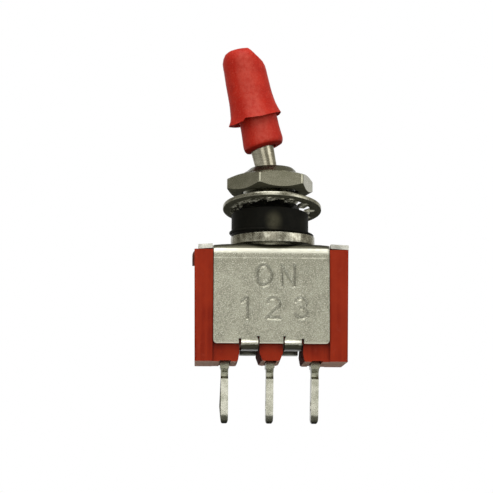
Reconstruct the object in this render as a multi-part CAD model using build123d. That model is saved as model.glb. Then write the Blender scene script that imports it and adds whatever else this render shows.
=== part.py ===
from build123d import *

import os
from math import cos, radians, sin, sqrt, tan

# A miniature panel-mounting toggle switch with three solder lugs. Millimetres.
# The origin is on the bushing's axis at the top face of the frame, where a panel would lie.
# +Z runs up the bushing, +X along the row of lugs, and -Y is the front.
# The lever stands at rest at its left-hand stop, with the right-hand contacts closed.

# Sheet-steel frame
SHEET = 0.5
LEG_WIDTH = 11.86
LEG_HEIGHT = 10.2
LEG_BEND = 0.8              # inside the bend of a leg
BEND_RADIUS = 0.25          # inside every other bend
WING_LEFT = 7.55            # how far the top plate reaches to the left of the axis
WING_RIGHT = 7.95
WING_DEPTH = 7.8
RELIEF = 0.15               # slit between a wing and the bend of a leg
EAR_WIDTH = 2.4
EAR_DROP = 1.5
EAR_SINK = 0.28             # how deep an ear lies in the end of the housing
TAB_WIDTH = 1.72
TAB_REACH = 2.2             # how far a tab is folded in under the housing
TAB_GAP = 0.12              # between the housing and a tab, which springs back a little
TAB_SLOT_INNER = 0.28
TAB_SLOT_OUTER = 0.12
TAB_SLOT_HEIGHT = 0.75

# Moulded housing, open at the top
HOUSING_WIDTH = 15.87
HOUSING_HEIGHT = 11.45
HOUSING_DEPTH = 7.9
HOUSING_DRAFT = 0.6         # degrees, each end
END_WALL = 1.75
SIDE_WALL = 0.85
FLOOR = 1.5
LEG_RECESS = 0.35           # how deep a leg's seat is sunk between the end columns
LEG_GAP = 0.07
SEAT_GAP = 0.05
BLOCK_CHAMFER = 0.42
BLOCK_CHAMFER_HEIGHT = 0.85
MIDDLE_BLOCK = 2.36
END_BLOCK_REACH = 1.4       # from an end lug's middle to the inner side of its block
GROOVE_WIDTH = 1.15
GROOVE_DEPTH = 0.4
COLUMN_ROUND = 0.2
BLOCK_ROUND = 0.25
CAVITY_ROUND = 0.5

# Terminals, stamped from strip that stands edge-on to the front
PITCH = 4.7
STRIP = 0.76
STEM_WIDTH = 2.6
HEAD_WIDTH = 3.3
STAKE_THICKNESS = 0.92
STAKE_HEIGHT = 0.6
NECK_WIDTH = 1.5
NECK_TOP = 1.0              # below the housing
NECK_BOTTOM = 1.4
PADDLE_TOP = 1.65
PADDLE_WIDTH = 2.0
LUG_LENGTH = 6.23
EYE_RADIUS = 0.55
EYE_ABOVE_TIP = 1.8
SLOT_FIT = 0.02

# Threaded bushing, pressed into the frame and swaged under it
THREAD_RADIUS = 3.0
BUSHING_HEIGHT = 8.76
NOSE_CHAMFER = 0.76
NOSE_ROUND = 0.2
SHOULDER_RADIUS = 3.5
SHOULDER_HEIGHT = 0.32
SWAGE_RADIUS = 3.35
SWAGE_HEIGHT = 0.22
SWAGE_ROOM = 0.1            # between the swaged rim and its recess in the housing
SPIGOT_FIT = 0.02
MOUTH_RADIUS = 1.7
FLARE_RADIUS = 2.68         # at the bushing's bottom, clear of the swinging lever
FLARE_TOP = 2.6

# Lever, its pin and its cap, drawn upright from the pivot and then tilted
PIVOT_HEIGHT = 6.9
LEVER_TILT = 12.3           # degrees to each side of upright
BALL_RADIUS = 2.0
BALL_GAP = 0.1
STEM_RADIUS = 1.1           # where the stem leaves the ball
STEM_TOP_RADIUS = 1.68
STEM_TOP = 12.6
STEM_NOSE = 0.8
ARM_RADIUS = 0.85
ARM_LENGTH = 10.0
PIN_RADIUS = 0.45
PIN_LENGTH = 4.8
PIN_FIT = 0.01
PIN_PLAY = 0.03
PIN_END_PLAY = 0.08
CAP_BOTTOM = 4.02
CAP_TOP = 15.13
CAP_TOP_FLAT = 0.75
CAP_RADIUS = 2.24           # at the foot of the dome
CAP_DOME_HEIGHT = 1.95
CAP_DOME_RADIUS = 1.9
CAP_TAPER = 0.1             # how much wider the flank is where the flare begins
CAP_FLARE_HEIGHT = 9.9
LIP_RADIUS = 2.88
LIP_HEIGHT = 7.22
LIP_SLANT = 3.8             # right side up
LIP_LEAN = 1.5              # far side up
LIP_WALL = 0.25
LIP_UNDERCUT = 0.45
COLLAR_RADIUS = 2.0
COLLAR_FLARE = 0.08
COLLAR_SHIFT = 0.22
COLLAR_ROUND = 0.4
CAP_FIT = 0.02
FLAT_AT = (1.24, 14.02)      # middle of the hollowed flat on the cap's right shoulder
FLAT_SLOPE = 35.5
FLAT_RADIUS = 4.0

# Plunger and spring inside the lever's arm
PLUNGER_RADIUS = 0.55
PLUNGER_LENGTH = 4.0
PLUNGER_PLAY = 0.04
PLUNGER_CLEARANCE = 0.08    # over the rocker when the lever passes upright
SPRING_ROOM = 3.2
SPRING_RADIUS = 0.44
SPRING_WIRE = 0.07
SPRING_TURNS = 6
SPRING_SIDES = 6            # the wire is drawn six-sided

# Rocker and contacts
ROCKER_TILT = 6.0
ROCKER_AXIS = -4.9          # height of the line it rocks about
ROCKER_STRIP = 0.45
ROCKER_HEEL = 0.5
ROCKER_HALF = 4.1
ROCKER_WIDTH = 3.6
ROCKER_NOTCH = 0.7
ROCKER_WAIST = 2.3
ROCKER_PLAY = 0.03
CRADLE_WIDTH = 3.5
CRADLE_EAR = 0.5
CRADLE_RISE = 0.7
CONTACT_AT = 3.2
CONTACT_RADIUS = 0.75
CONTACT_THICKNESS = 0.32
CONTACT_SHANK = 0.35
CONTACT_GAP = 0.02
ARM_INNER = 2.2             # inner end of an end terminal's arm

# Hardware on the bushing
RING_RADIUS = 4.35
RING_BORE = 3.35
RING_HEIGHT = 0.98
RING_SHIFT = 0.3
RING_CHAMFER = 0.1
SLEEVE_RADIUS = 4.03
SLEEVE_FIT = 0.04
SLEEVE_HEIGHT = 2.36        # in the middle of its slanted top
SLEEVE_SLANT = 4.4
FLANGE_RADIUS = 4.43
FLANGE_THICKNESS = 0.25
FLANGE_RISE = 0.3           # middle of the flange above the ring
FLANGE_SHIFT = 0.165
FLANGE_TILT = 2.2
WASHER_RADIUS = 5.19
WASHER_THICKNESS = 0.376
WASHER_ROOT = 4.05
WASHER_TIP = 3.34
WASHER_TEETH = 12
TOOTH_TWIST = 15.0
TOOTH_SHARE = 0.7           # of the pitch that a tooth takes up
WASHER_HEIGHT = 4.38
WASHER_SHIFT = 0.21
WASHER_LEAN = 8.8           # near side up
WASHER_ROLL = 1.0           # right side down
NUT_FLATS = 8.1
NUT_HEIGHT = 1.8
NUT_BOTTOM = 6.05
NUT_LEAN = 1.2              # near side up, as far as the thread's play lets it
NUT_TURN = -18.6
NUT_CHAMFER = 42.0
NUT_CORNER = 0.4
NUT_FIT = 0.03

# Levels and places that follow from the sizes above
HOUSING_TOP = -SHEET
HOUSING_BOTTOM = HOUSING_TOP - HOUSING_HEIGHT
WEB_BOTTOM = -LEG_HEIGHT
FLOOR_TOP = WEB_BOTTOM + FLOOR
SEAT_Y = HOUSING_DEPTH / 2 - LEG_RECESS
LEG_OUTER = SEAT_Y + SEAT_GAP + SHEET
BEND_OUTER = BEND_RADIUS + SHEET
LEG_BEND_OUTER = LEG_BEND + SHEET
CAVITY_HALF_LENGTH = HOUSING_WIDTH / 2 - END_WALL
CAVITY_HALF_DEPTH = SEAT_Y - SIDE_WALL
BUSHING_BOTTOM = -SHEET - SWAGE_HEIGHT
BORE_RADIUS = BALL_RADIUS + BALL_GAP
LEVER_LENGTH = PIVOT_HEIGHT - ROCKER_AXIS + ROCKER_HEEL - ROCKER_STRIP - PLUNGER_CLEARANCE
ARM_TOP = ROCKER_AXIS - ROCKER_HEEL - 2 * CONTACT_THICKNESS - CONTACT_GAP
TIP = HOUSING_BOTTOM - LUG_LENGTH
EYE_HEIGHT = TIP + EYE_ABOVE_TIP
RING_TOP = SHOULDER_HEIGHT + RING_HEIGHT


def block(x, y, z):
    """A box between two limits along each axis."""
    size = [high - low for low, high in (x, y, z)]
    return Pos(x[0], y[0], z[0]) * Box(*size, align=(Align.MIN, Align.MIN, Align.MIN))


def face(*points):
    return make_face(Polyline(*points, close=True))


def turned(*points):
    """A body turned about Z from (radius, height) points."""
    return revolve(Plane.XZ * face(*points), Axis.Z)


def both_ends(thing):
    """A piece and its mirror image in the middle plane across the row of lugs."""
    return thing + mirror(thing, Plane.YZ)


def front_and_back(thing):
    return thing + mirror(thing, Plane.XZ)


def bar(radius, height, x=0.0):
    """A round bar along Y, longer than the switch is deep."""
    return Pos(x, 0, height) * Rot(90, 0, 0) * Cylinder(radius, 2 * HOUSING_DEPTH)


def tilted(thing):
    """Leans what was drawn upright from the pivot to the left-hand stop."""
    return Pos(0, 0, PIVOT_HEIGHT) * Rot(0, -LEVER_TILT, 0) * thing


def rocked(thing):
    """Tips what was drawn about the rocker's level line onto the right-hand contact."""
    return Pos(0, 0, ROCKER_AXIS) * Rot(0, ROCKER_TILT, 0) * thing


# ---- housing ----------------------------------------------------------------


def housing_outline():
    """The front outline: end columns, drafted ends, and a block round each lug."""
    half_bottom = HOUSING_WIDTH / 2 - HOUSING_HEIGHT * tan(radians(HOUSING_DRAFT))
    chamfer_top = HOUSING_BOTTOM + BLOCK_CHAMFER_HEIGHT
    end_inner = PITCH - END_BLOCK_REACH
    middle = MIDDLE_BLOCK / 2
    right = [
        (HOUSING_WIDTH / 2, HOUSING_TOP),
        (half_bottom, HOUSING_BOTTOM),
        (end_inner + BLOCK_CHAMFER, HOUSING_BOTTOM),
        (end_inner, chamfer_top),
        (end_inner, WEB_BOTTOM),
        (middle, WEB_BOTTOM),
        (middle, chamfer_top),
        (middle - BLOCK_CHAMFER, HOUSING_BOTTOM),
    ]
    left = [(-x, z) for x, z in reversed(right)]
    return face(*right, *left)


def terminal_slots():
    """Through the floor, and the grooves across the blocks where the lugs come out."""
    slots = None
    for x in (-PITCH, 0, PITCH):
        half = STRIP / 2 + SLOT_FIT
        reach = STEM_WIDTH / 2 + SLOT_FIT
        slot = block((x - half, x + half), (-reach, reach), (HOUSING_BOTTOM, FLOOR_TOP))
        groove = block(
            (x - GROOVE_WIDTH / 2, x + GROOVE_WIDTH / 2),
            (-HOUSING_DEPTH / 2, HOUSING_DEPTH / 2),
            (HOUSING_BOTTOM, HOUSING_BOTTOM + GROOVE_DEPTH),
        )
        cut = slot + groove
        slots = cut if slots is None else slots + cut
    return slots


def housing():
    body = extrude(Plane.XZ * housing_outline(), HOUSING_DEPTH / 2, both=True)
    long_edges = body.edges().filter_by(lambda e: e.length > 0.9 * HOUSING_HEIGHT)
    long_edges = long_edges.filter_by(Axis.X, reverse=True)
    body = fillet(long_edges, COLUMN_ROUND)
    block_edges = body.edges().filter_by(Axis.Y).filter_by(
        lambda e: abs(e.center().Z - HOUSING_BOTTOM) < 0.01 and abs(e.center().X) < PITCH
    )
    body = fillet(block_edges, BLOCK_ROUND)

    seat = block(
        (-LEG_WIDTH / 2 - LEG_GAP, LEG_WIDTH / 2 + LEG_GAP),
        (-HOUSING_DEPTH / 2, -SEAT_Y),
        (HOUSING_BOTTOM, HOUSING_TOP),
    )
    body -= front_and_back(seat)
    bend_edges = body.edges().filter_by(Axis.X).filter_by(
        lambda e: abs(abs(e.center().Y) - SEAT_Y) < 0.01
        and abs(e.center().Z - HOUSING_TOP) < 0.01
    )
    body = fillet(bend_edges, LEG_BEND)

    cavity = block(
        (-CAVITY_HALF_LENGTH, CAVITY_HALF_LENGTH),
        (-CAVITY_HALF_DEPTH, CAVITY_HALF_DEPTH),
        (FLOOR_TOP, HOUSING_TOP),
    )
    cavity = fillet(cavity.edges().filter_by(Axis.Z), CAVITY_ROUND)
    ear_seat = block(
        (HOUSING_WIDTH / 2 - EAR_SINK - SEAT_GAP, HOUSING_WIDTH / 2 + SHEET),
        (-EAR_WIDTH / 2 - LEG_GAP, EAR_WIDTH / 2 + LEG_GAP),
        (-EAR_DROP - SEAT_GAP, HOUSING_TOP),
    )
    ear_corner = Pos(HOUSING_WIDTH / 2 - EAR_SINK, 0, HOUSING_TOP) * Rot(0, 45, 0) * Box(
        BEND_OUTER, EAR_WIDTH + 2 * LEG_GAP, BEND_OUTER
    )
    swage_recess = Pos(0, 0, HOUSING_TOP) * Cylinder(
        SWAGE_RADIUS + SWAGE_ROOM, 2 * (SWAGE_HEIGHT + SWAGE_ROOM)
    )
    body -= cavity + swage_recess
    return body - terminal_slots() - both_ends(ear_seat + ear_corner)


# ---- frame ------------------------------------------------------------------


def bent_shell(length, half_depth, bottom):
    """A strip bent into an upside-down U across the housing."""
    outer = block((-length / 2, length / 2), (-half_depth, half_depth), (bottom, 0))
    outer = fillet(top_edges_along_x(outer, 0), LEG_BEND_OUTER)
    inner_half = half_depth - SHEET
    inner = block((-length / 2, length / 2), (-inner_half, inner_half), (bottom, -SHEET))
    inner = fillet(top_edges_along_x(inner, -SHEET), LEG_BEND)
    return outer - inner


def top_edges_along_x(thing, height):
    edges = thing.edges().filter_by(Axis.X)
    return edges.filter_by(lambda e: abs(e.center().Z - height) < 0.001)


def wing(reach):
    """One end of the top plate, with the ear bent down over the end of the housing."""
    start = LEG_WIDTH / 2 + RELIEF
    bend_start = LEG_OUTER - LEG_BEND_OUTER
    plate = block((start, reach), (-WING_DEPTH / 2, WING_DEPTH / 2), (-SHEET, 0))
    bridge = block((start - SHEET, start), (-bend_start, bend_start), (-SHEET, 0))
    ear_outer = HOUSING_WIDTH / 2 - EAR_SINK + SHEET
    ear = block((start, ear_outer), (-EAR_WIDTH / 2, EAR_WIDTH / 2), (-EAR_DROP, 0))
    corner = ear.edges().filter_by(Axis.Y).sort_by(lambda e: e.center().X + e.center().Z)
    ear = fillet(corner[-1], BEND_OUTER)
    hollow = block(
        (start, ear_outer - SHEET), (-EAR_WIDTH / 2, EAR_WIDTH / 2), (-EAR_DROP, -SHEET)
    )
    corner = hollow.edges().filter_by(Axis.Y).sort_by(lambda e: e.center().X + e.center().Z)
    hollow = fillet(corner[-1], BEND_RADIUS)
    return plate + bridge + (ear - hollow)


def tab():
    """A tab folded under the housing at the foot of the front leg, right of the middle."""
    middle = PITCH / 2
    x = (middle - TAB_WIDTH / 2, middle + TAB_WIDTH / 2)
    top = -LEG_HEIGHT - TAB_GAP
    flap = block(x, (-LEG_OUTER, -LEG_OUTER + TAB_REACH), (top - SHEET, top))
    stub = block(x, (-LEG_OUTER, -LEG_OUTER + SHEET), (top, -LEG_HEIGHT + SHEET))
    folded = flap + stub
    corner = folded.edges().filter_by(Axis.X).sort_by(lambda e: e.center().Y + e.center().Z)
    return fillet(corner[0], BEND_OUTER)


def tab_cuts():
    """What the fold takes off the leg, and the slots that free the tab's sides."""
    middle = PITCH / 2
    low = middle - TAB_WIDTH / 2
    high = middle + TAB_WIDTH / 2
    y = (-LEG_OUTER - SHEET, -LEG_OUTER + 2 * SHEET)
    inner = block((low - TAB_SLOT_INNER, low), y, (-LEG_HEIGHT, -LEG_HEIGHT + TAB_SLOT_HEIGHT))
    outer = block((high, high + TAB_SLOT_OUTER), y, (-LEG_HEIGHT, -LEG_HEIGHT + SHEET))
    under = block((low, high), y, (-LEG_HEIGHT, -LEG_HEIGHT + SHEET))
    return inner + outer + under


def frame():
    shell = bent_shell(LEG_WIDTH, LEG_OUTER, -LEG_HEIGHT)
    shell -= front_and_back(both_ends(tab_cuts()))
    shell += front_and_back(both_ends(tab()))
    shell += wing(WING_RIGHT)
    shell += mirror(wing(WING_LEFT), Plane.YZ)
    swage_room = Pos(0, 0, -SHEET) * Cylinder(
        SWAGE_RADIUS + SPIGOT_FIT, SHEET, align=(Align.CENTER, Align.CENTER, Align.MAX)
    )
    return shell - Cylinder(THREAD_RADIUS + SPIGOT_FIT, 4 * SHEET) - swage_room


# ---- terminals --------------------------------------------------------------


def lug_outline(head):
    """A terminal seen from the end: (half width, height) points of its head, then the lug."""
    foot = [
        (STEM_WIDTH / 2, HOUSING_BOTTOM - STAKE_HEIGHT),
        (NECK_WIDTH / 2, HOUSING_BOTTOM - NECK_TOP),
        (NECK_WIDTH / 2, HOUSING_BOTTOM - NECK_BOTTOM),
        (PADDLE_WIDTH / 2, HOUSING_BOTTOM - PADDLE_TOP),
        (PADDLE_WIDTH / 2, TIP + PADDLE_WIDTH / 2),
    ]
    right = head + foot
    left = [(-y, z) for y, z in reversed(right)]
    outline = face(*right, *left)
    outline += Pos(0, TIP + PADDLE_WIDTH / 2) * Circle(PADDLE_WIDTH / 2)
    return outline - Pos(0, EYE_HEIGHT) * Circle(EYE_RADIUS)


def terminal_blade(head):
    blade = extrude(Plane.YZ * lug_outline(head), STRIP / 2, both=True)
    reach = STEM_WIDTH / 2 - SLOT_FIT
    half = STAKE_THICKNESS / 2
    stake = block(
        (-half, half),
        (-reach, reach),
        (HOUSING_BOTTOM - STAKE_HEIGHT, HOUSING_BOTTOM + GROOVE_DEPTH),
    )
    edges = stake.edges().filter_by(Axis.Y).filter_by(lambda e: e.center().Z < HOUSING_BOTTOM)
    return blade + chamfer(edges, (STAKE_THICKNESS - STRIP) / 2)


def common_terminal():
    """The middle terminal, with two ears that keep the rocker in place on its top edge."""
    saddle = ROCKER_AXIS - ROCKER_HEEL - ROCKER_PLAY
    ear_top = ROCKER_AXIS + CRADLE_RISE
    head = [
        (CRADLE_WIDTH / 2 - CRADLE_EAR, saddle),
        (CRADLE_WIDTH / 2 - CRADLE_EAR, ear_top),
        (CRADLE_WIDTH / 2, ear_top),
        (CRADLE_WIDTH / 2, FLOOR_TOP),
        (STEM_WIDTH / 2, FLOOR_TOP),
    ]
    return terminal_blade(head)


def right_terminal():
    """An end terminal, bent inwards over the floor to carry its fixed contact."""
    inner = PITCH - STRIP / 2
    outer = PITCH + STRIP / 2
    y = (-HEAD_WIDTH / 2, HEAD_WIDTH / 2)
    post = block((inner, outer), y, (FLOOR_TOP, ARM_TOP))
    arm = block((ARM_INNER, outer), y, (ARM_TOP - STRIP, ARM_TOP))
    bent = post + arm
    edges = bent.edges().filter_by(Axis.Y)
    outside = edges.sort_by(lambda e: e.center().X + e.center().Z)[-1]
    bent = fillet(outside, STRIP + BEND_RADIUS)
    inside = bent.edges().filter_by(Axis.Y).filter_by(
        lambda e: abs(e.center().X - inner) < 0.01 and abs(e.center().Z - ARM_TOP + STRIP) < 0.01
    )
    bent = fillet(inside, BEND_RADIUS)
    blade = terminal_blade([(STEM_WIDTH / 2, FLOOR_TOP)])
    hole = Pos(CONTACT_AT, 0, ARM_TOP) * Cylinder(CONTACT_SHANK, 4 * STRIP)
    return Pos(PITCH, 0, 0) * blade + bent - hole


def contact(shank_length):
    """A silver contact rivet: a low round head with its shank down through the strip."""
    head = Cylinder(CONTACT_RADIUS, CONTACT_THICKNESS, align=(Align.CENTER, Align.CENTER, Align.MIN))
    head = chamfer(head.edges().sort_by(Axis.Z)[-1], CONTACT_THICKNESS / 3)
    shank = Cylinder(CONTACT_SHANK, shank_length, align=(Align.CENTER, Align.CENTER, Align.MAX))
    return head + shank


def right_fixed_contact():
    return Pos(CONTACT_AT, 0, ARM_TOP) * contact(STRIP)


# ---- rocker -----------------------------------------------------------------


def rocker_wing():
    """The right wing, rising outwards from the heel, drawn about the rocking line."""
    along = Vector(cos(radians(ROCKER_TILT)), sin(radians(ROCKER_TILT)))
    up = Vector(-sin(radians(ROCKER_TILT)), cos(radians(ROCKER_TILT)))
    low = up * -ROCKER_HEEL
    high = up * (ROCKER_STRIP - ROCKER_HEEL)
    corners = [low, low + along * ROCKER_HALF, high + along * ROCKER_HALF, high]
    outline = face(*[(p.X, p.Y) for p in corners])
    wing_slab = extrude(Plane.XZ * outline, ROCKER_WIDTH / 2, both=True)
    hole = Rot(0, -ROCKER_TILT, 0) * Pos(CONTACT_AT, 0, -ROCKER_HEEL) * Cylinder(CONTACT_SHANK, 2)
    return wing_slab - hole


def rocker():
    heel_half = ROCKER_WIDTH / 2
    heel = Rot(90, 0, 0) * Cylinder(ROCKER_HEEL, ROCKER_WIDTH)
    above = block(
        (-ROCKER_HALF, ROCKER_HALF),
        (-heel_half, heel_half),
        (ROCKER_STRIP - ROCKER_HEEL, ROCKER_HALF),
    )
    strip = both_ends(rocker_wing()) + (heel - above)
    notch = block(
        (-ROCKER_NOTCH, ROCKER_NOTCH),
        (ROCKER_WAIST / 2, ROCKER_WIDTH),
        (-ROCKER_HALF, ROCKER_HALF),
    )
    return rocked(strip - front_and_back(notch))


def moving_contact(side):
    """A contact rivet under one wing, its shank up through the strip."""
    rivet = Pos(CONTACT_AT, 0, -ROCKER_HEEL) * Rot(180, 0, 0) * contact(ROCKER_STRIP)
    rivet = Rot(0, -ROCKER_TILT, 0) * rivet
    return rocked(rivet if side > 0 else mirror(rivet, Plane.YZ))


# ---- bushing ----------------------------------------------------------------


def bushing():
    nose_radius = THREAD_RADIUS - NOSE_CHAMFER
    body = turned(
        (0, BUSHING_BOTTOM),
        (SWAGE_RADIUS, BUSHING_BOTTOM),
        (SWAGE_RADIUS, -SHEET),
        (THREAD_RADIUS, -SHEET),
        (THREAD_RADIUS, 0),
        (SHOULDER_RADIUS, 0),
        (SHOULDER_RADIUS, SHOULDER_HEIGHT),
        (THREAD_RADIUS, SHOULDER_HEIGHT),
        (THREAD_RADIUS, BUSHING_HEIGHT - NOSE_CHAMFER),
        (nose_radius, BUSHING_HEIGHT),
        (0, BUSHING_HEIGHT),
    )
    rim = body.edges().filter_by(GeomType.CIRCLE).sort_by(Axis.Z)[-1]
    body = fillet(rim, NOSE_ROUND)
    bore = turned(
        (0, BUSHING_BOTTOM),
        (FLARE_RADIUS, BUSHING_BOTTOM),
        (BORE_RADIUS, FLARE_TOP),
        (BORE_RADIUS, PIVOT_HEIGHT),
        (0, PIVOT_HEIGHT),
    )
    seat = Pos(0, 0, PIVOT_HEIGHT) * Sphere(BORE_RADIUS)
    mouth = Pos(0, 0, PIVOT_HEIGHT) * Cylinder(
        MOUTH_RADIUS, BUSHING_HEIGHT, align=(Align.CENTER, Align.CENTER, Align.MIN)
    )
    return body - (bore + seat + mouth) - pin_slots()


def pin_slots():
    """Slots up the bore from below, in which the pivot pin's ends ride up to their seat."""
    half = PIN_RADIUS + PIN_PLAY
    reach = PIN_LENGTH / 2 + PIN_END_PLAY
    slot = block((-half, half), (-reach, reach), (BUSHING_BOTTOM, PIVOT_HEIGHT))
    seat = Pos(0, 0, PIVOT_HEIGHT) * Rot(90, 0, 0) * Cylinder(half, 2 * reach)
    return slot + seat


# ---- lever group ------------------------------------------------------------


def stem(extra=0.0):
    """The bat-shaped stem above the ball. With extra it is the hollow it fills in the cap."""
    return turned(
        (0, 0),
        (STEM_RADIUS + extra, 0),
        (STEM_RADIUS + extra, BALL_RADIUS),
        (STEM_TOP_RADIUS + extra, STEM_TOP),
        (STEM_TOP_RADIUS + extra - STEM_NOSE, STEM_TOP + STEM_NOSE + extra),
        (0, STEM_TOP + STEM_NOSE + extra),
    )


def lever():
    arm = Cylinder(ARM_RADIUS, ARM_LENGTH, align=(Align.CENTER, Align.CENTER, Align.MAX))
    body = stem() + Sphere(BALL_RADIUS) + arm
    bore_radius = PLUNGER_RADIUS + PLUNGER_PLAY
    bore_length = ARM_LENGTH - (LEVER_LENGTH - PLUNGER_LENGTH - SPRING_ROOM)
    bore = Pos(0, 0, -ARM_LENGTH) * Cylinder(
        bore_radius, bore_length, align=(Align.CENTER, Align.CENTER, Align.MIN)
    )
    pin_hole = Rot(90, 0, 0) * Cylinder(PIN_RADIUS + PIN_FIT, 3 * BALL_RADIUS)
    return tilted(body - bore - pin_hole)


def pivot_pin():
    pin = Rot(90, 0, 0) * Cylinder(PIN_RADIUS, PIN_LENGTH)
    return tilted(pin)


def cap_skirt():
    """The domed top and the nearly parallel flank, which flares to a thin lip."""
    dome_foot = (CAP_RADIUS, CAP_TOP - CAP_DOME_HEIGHT)
    flare_start = (CAP_RADIUS + CAP_TAPER, CAP_FLARE_HEIGHT)
    slope = (flare_start[0] - dome_foot[0], flare_start[1] - dome_foot[1])
    dome = RadiusArc((CAP_TOP_FLAT, CAP_TOP), dome_foot, CAP_DOME_RADIUS)
    flank = Line(dome_foot, flare_start)
    flare = TangentArc(flare_start, (LIP_RADIUS, LIP_HEIGHT), tangent=slope)
    low = LIP_HEIGHT - LIP_RADIUS * (tan(radians(LIP_SLANT)) + tan(radians(LIP_LEAN)))
    rest = Polyline(
        (LIP_RADIUS, LIP_HEIGHT),
        (LIP_RADIUS, low),
        (0, low),
        (0, CAP_TOP),
        (CAP_TOP_FLAT, CAP_TOP),
    )
    outline = [edge for part in (dome, flank, flare, rest) for edge in part.edges()]
    return revolve(Plane.XZ * make_face(outline), Axis.Z)


def below_lip():
    """The slanted plane that trims the lip, as a block that fills all below it."""
    slab = Box(
        4 * LIP_RADIUS, 4 * LIP_RADIUS, 2 * LIP_RADIUS, align=(Align.CENTER, Align.CENTER, Align.MAX)
    )
    return Pos(0, 0, LIP_HEIGHT) * Rot(LIP_LEAN, -LIP_SLANT, 0) * slab


def cap_collar():
    low = CAP_BOTTOM
    collar = turned(
        (0, low),
        (COLLAR_RADIUS + COLLAR_FLARE, low),
        (COLLAR_RADIUS, LIP_HEIGHT + LIP_UNDERCUT),
        (0, LIP_HEIGHT + LIP_UNDERCUT),
    )
    rim = collar.edges().filter_by(GeomType.CIRCLE).sort_by(Axis.Z)[0]
    return Pos(COLLAR_SHIFT, 0, 0) * fillet(rim, COLLAR_ROUND)


def cap_flat():
    """A bar whose side hollows out the flat on the cap's right shoulder."""
    rise = radians(FLAT_SLOPE)
    x = FLAT_AT[0] + FLAT_RADIUS * cos(rise)
    z = FLAT_AT[1] + FLAT_RADIUS * sin(rise)
    return bar(FLAT_RADIUS, z, x)


def lever_cap():
    hollow = turned(
        (0, 0),
        (LIP_RADIUS - LIP_WALL, 0),
        (LIP_RADIUS - LIP_WALL, LIP_HEIGHT),
        (COLLAR_RADIUS, LIP_HEIGHT + LIP_UNDERCUT),
        (0, LIP_HEIGHT + LIP_UNDERCUT),
    )
    skirt = cap_skirt() - below_lip() - hollow
    cap = skirt + cap_collar() - cap_flat() - stem(CAP_FIT)
    return tilted(cap)


def plunger():
    tip = -LEVER_LENGTH
    rod = turned(
        (0, tip),
        (PLUNGER_RADIUS, tip),
        (PLUNGER_RADIUS, tip + PLUNGER_LENGTH),
        (0, tip + PLUNGER_LENGTH),
    )
    low_rim = rod.edges().filter_by(GeomType.CIRCLE).sort_by(Axis.Z)[0]
    return tilted(fillet(low_rim, 0.9 * PLUNGER_RADIUS))


def plunger_spring():
    height = SPRING_ROOM - 2 * SPRING_WIRE - 0.02
    path = Helix(height / SPRING_TURNS, height, SPRING_RADIUS)
    start = Plane(origin=path @ 0, z_dir=path % 0)
    coil = sweep(start * RegularPolygon(SPRING_WIRE, SPRING_SIDES), path, is_frenet=True)
    bottom = -LEVER_LENGTH + PLUNGER_LENGTH + SPRING_WIRE + 0.01
    return tilted(Pos(0, 0, bottom) * coil)


# ---- hardware on the bushing ------------------------------------------------


def bushing_ring():
    """A loose thick ring on the bushing's shoulder, pushed over to the right."""
    ring = Cylinder(RING_RADIUS, RING_HEIGHT, align=(Align.CENTER, Align.CENTER, Align.MIN))
    ring = chamfer(ring.edges().filter_by(GeomType.CIRCLE), RING_CHAMFER)
    ring -= Cylinder(RING_BORE, 4 * RING_HEIGHT)
    return Pos(RING_SHIFT, 0, SHOULDER_HEIGHT) * ring


def rubber_sleeve():
    """A length of rubber tube with a thin flange, its top cut a little on the slant."""
    tube = Pos(0, 0, RING_TOP) * Cylinder(
        SLEEVE_RADIUS, SLEEVE_HEIGHT + SLEEVE_RADIUS, align=(Align.CENTER, Align.CENTER, Align.MIN)
    )
    waste = Pos(0, 0, RING_TOP + SLEEVE_HEIGHT) * Rot(-SLEEVE_SLANT, 0, 0) * Box(
        4 * SLEEVE_RADIUS, 4 * SLEEVE_RADIUS, 2 * SLEEVE_RADIUS,
        align=(Align.CENTER, Align.CENTER, Align.MIN),
    )
    flange = Cylinder(FLANGE_RADIUS, FLANGE_THICKNESS)
    flange = chamfer(flange.edges().filter_by(GeomType.CIRCLE), FLANGE_THICKNESS / 4)
    flange = Pos(FLANGE_SHIFT, 0, RING_TOP + FLANGE_RISE) * Rot(0, FLANGE_TILT, 0) * flange
    bore = Cylinder(THREAD_RADIUS + SLEEVE_FIT, 4 * BUSHING_HEIGHT)
    return tube - waste + flange - bore


def lock_washer():
    """An internal-tooth washer, its twisted teeth sprung against the ring they hang from."""
    ring = Cylinder(WASHER_RADIUS, WASHER_THICKNESS) - Cylinder(WASHER_ROOT, 2 * WASHER_THICKNESS)
    pitch = 360 / WASHER_TEETH
    width = TOOTH_SHARE * radians(pitch) * WASHER_ROOT
    length = WASHER_ROOT - WASHER_TIP + WASHER_THICKNESS
    tooth = Pos((WASHER_TIP + WASHER_THICKNESS + WASHER_ROOT) / 2, 0, 0) * Rot(TOOTH_TWIST, 0, 0) * Box(
        length, width, WASHER_THICKNESS
    )
    for i in range(WASHER_TEETH):
        ring += Rot(0, 0, i * pitch) * tooth
    ring -= Cylinder(WASHER_TIP, 4 * WASHER_THICKNESS)
    return Pos(WASHER_SHIFT, 0, WASHER_HEIGHT) * Rot(-WASHER_LEAN, WASHER_ROLL, 0) * ring


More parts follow.
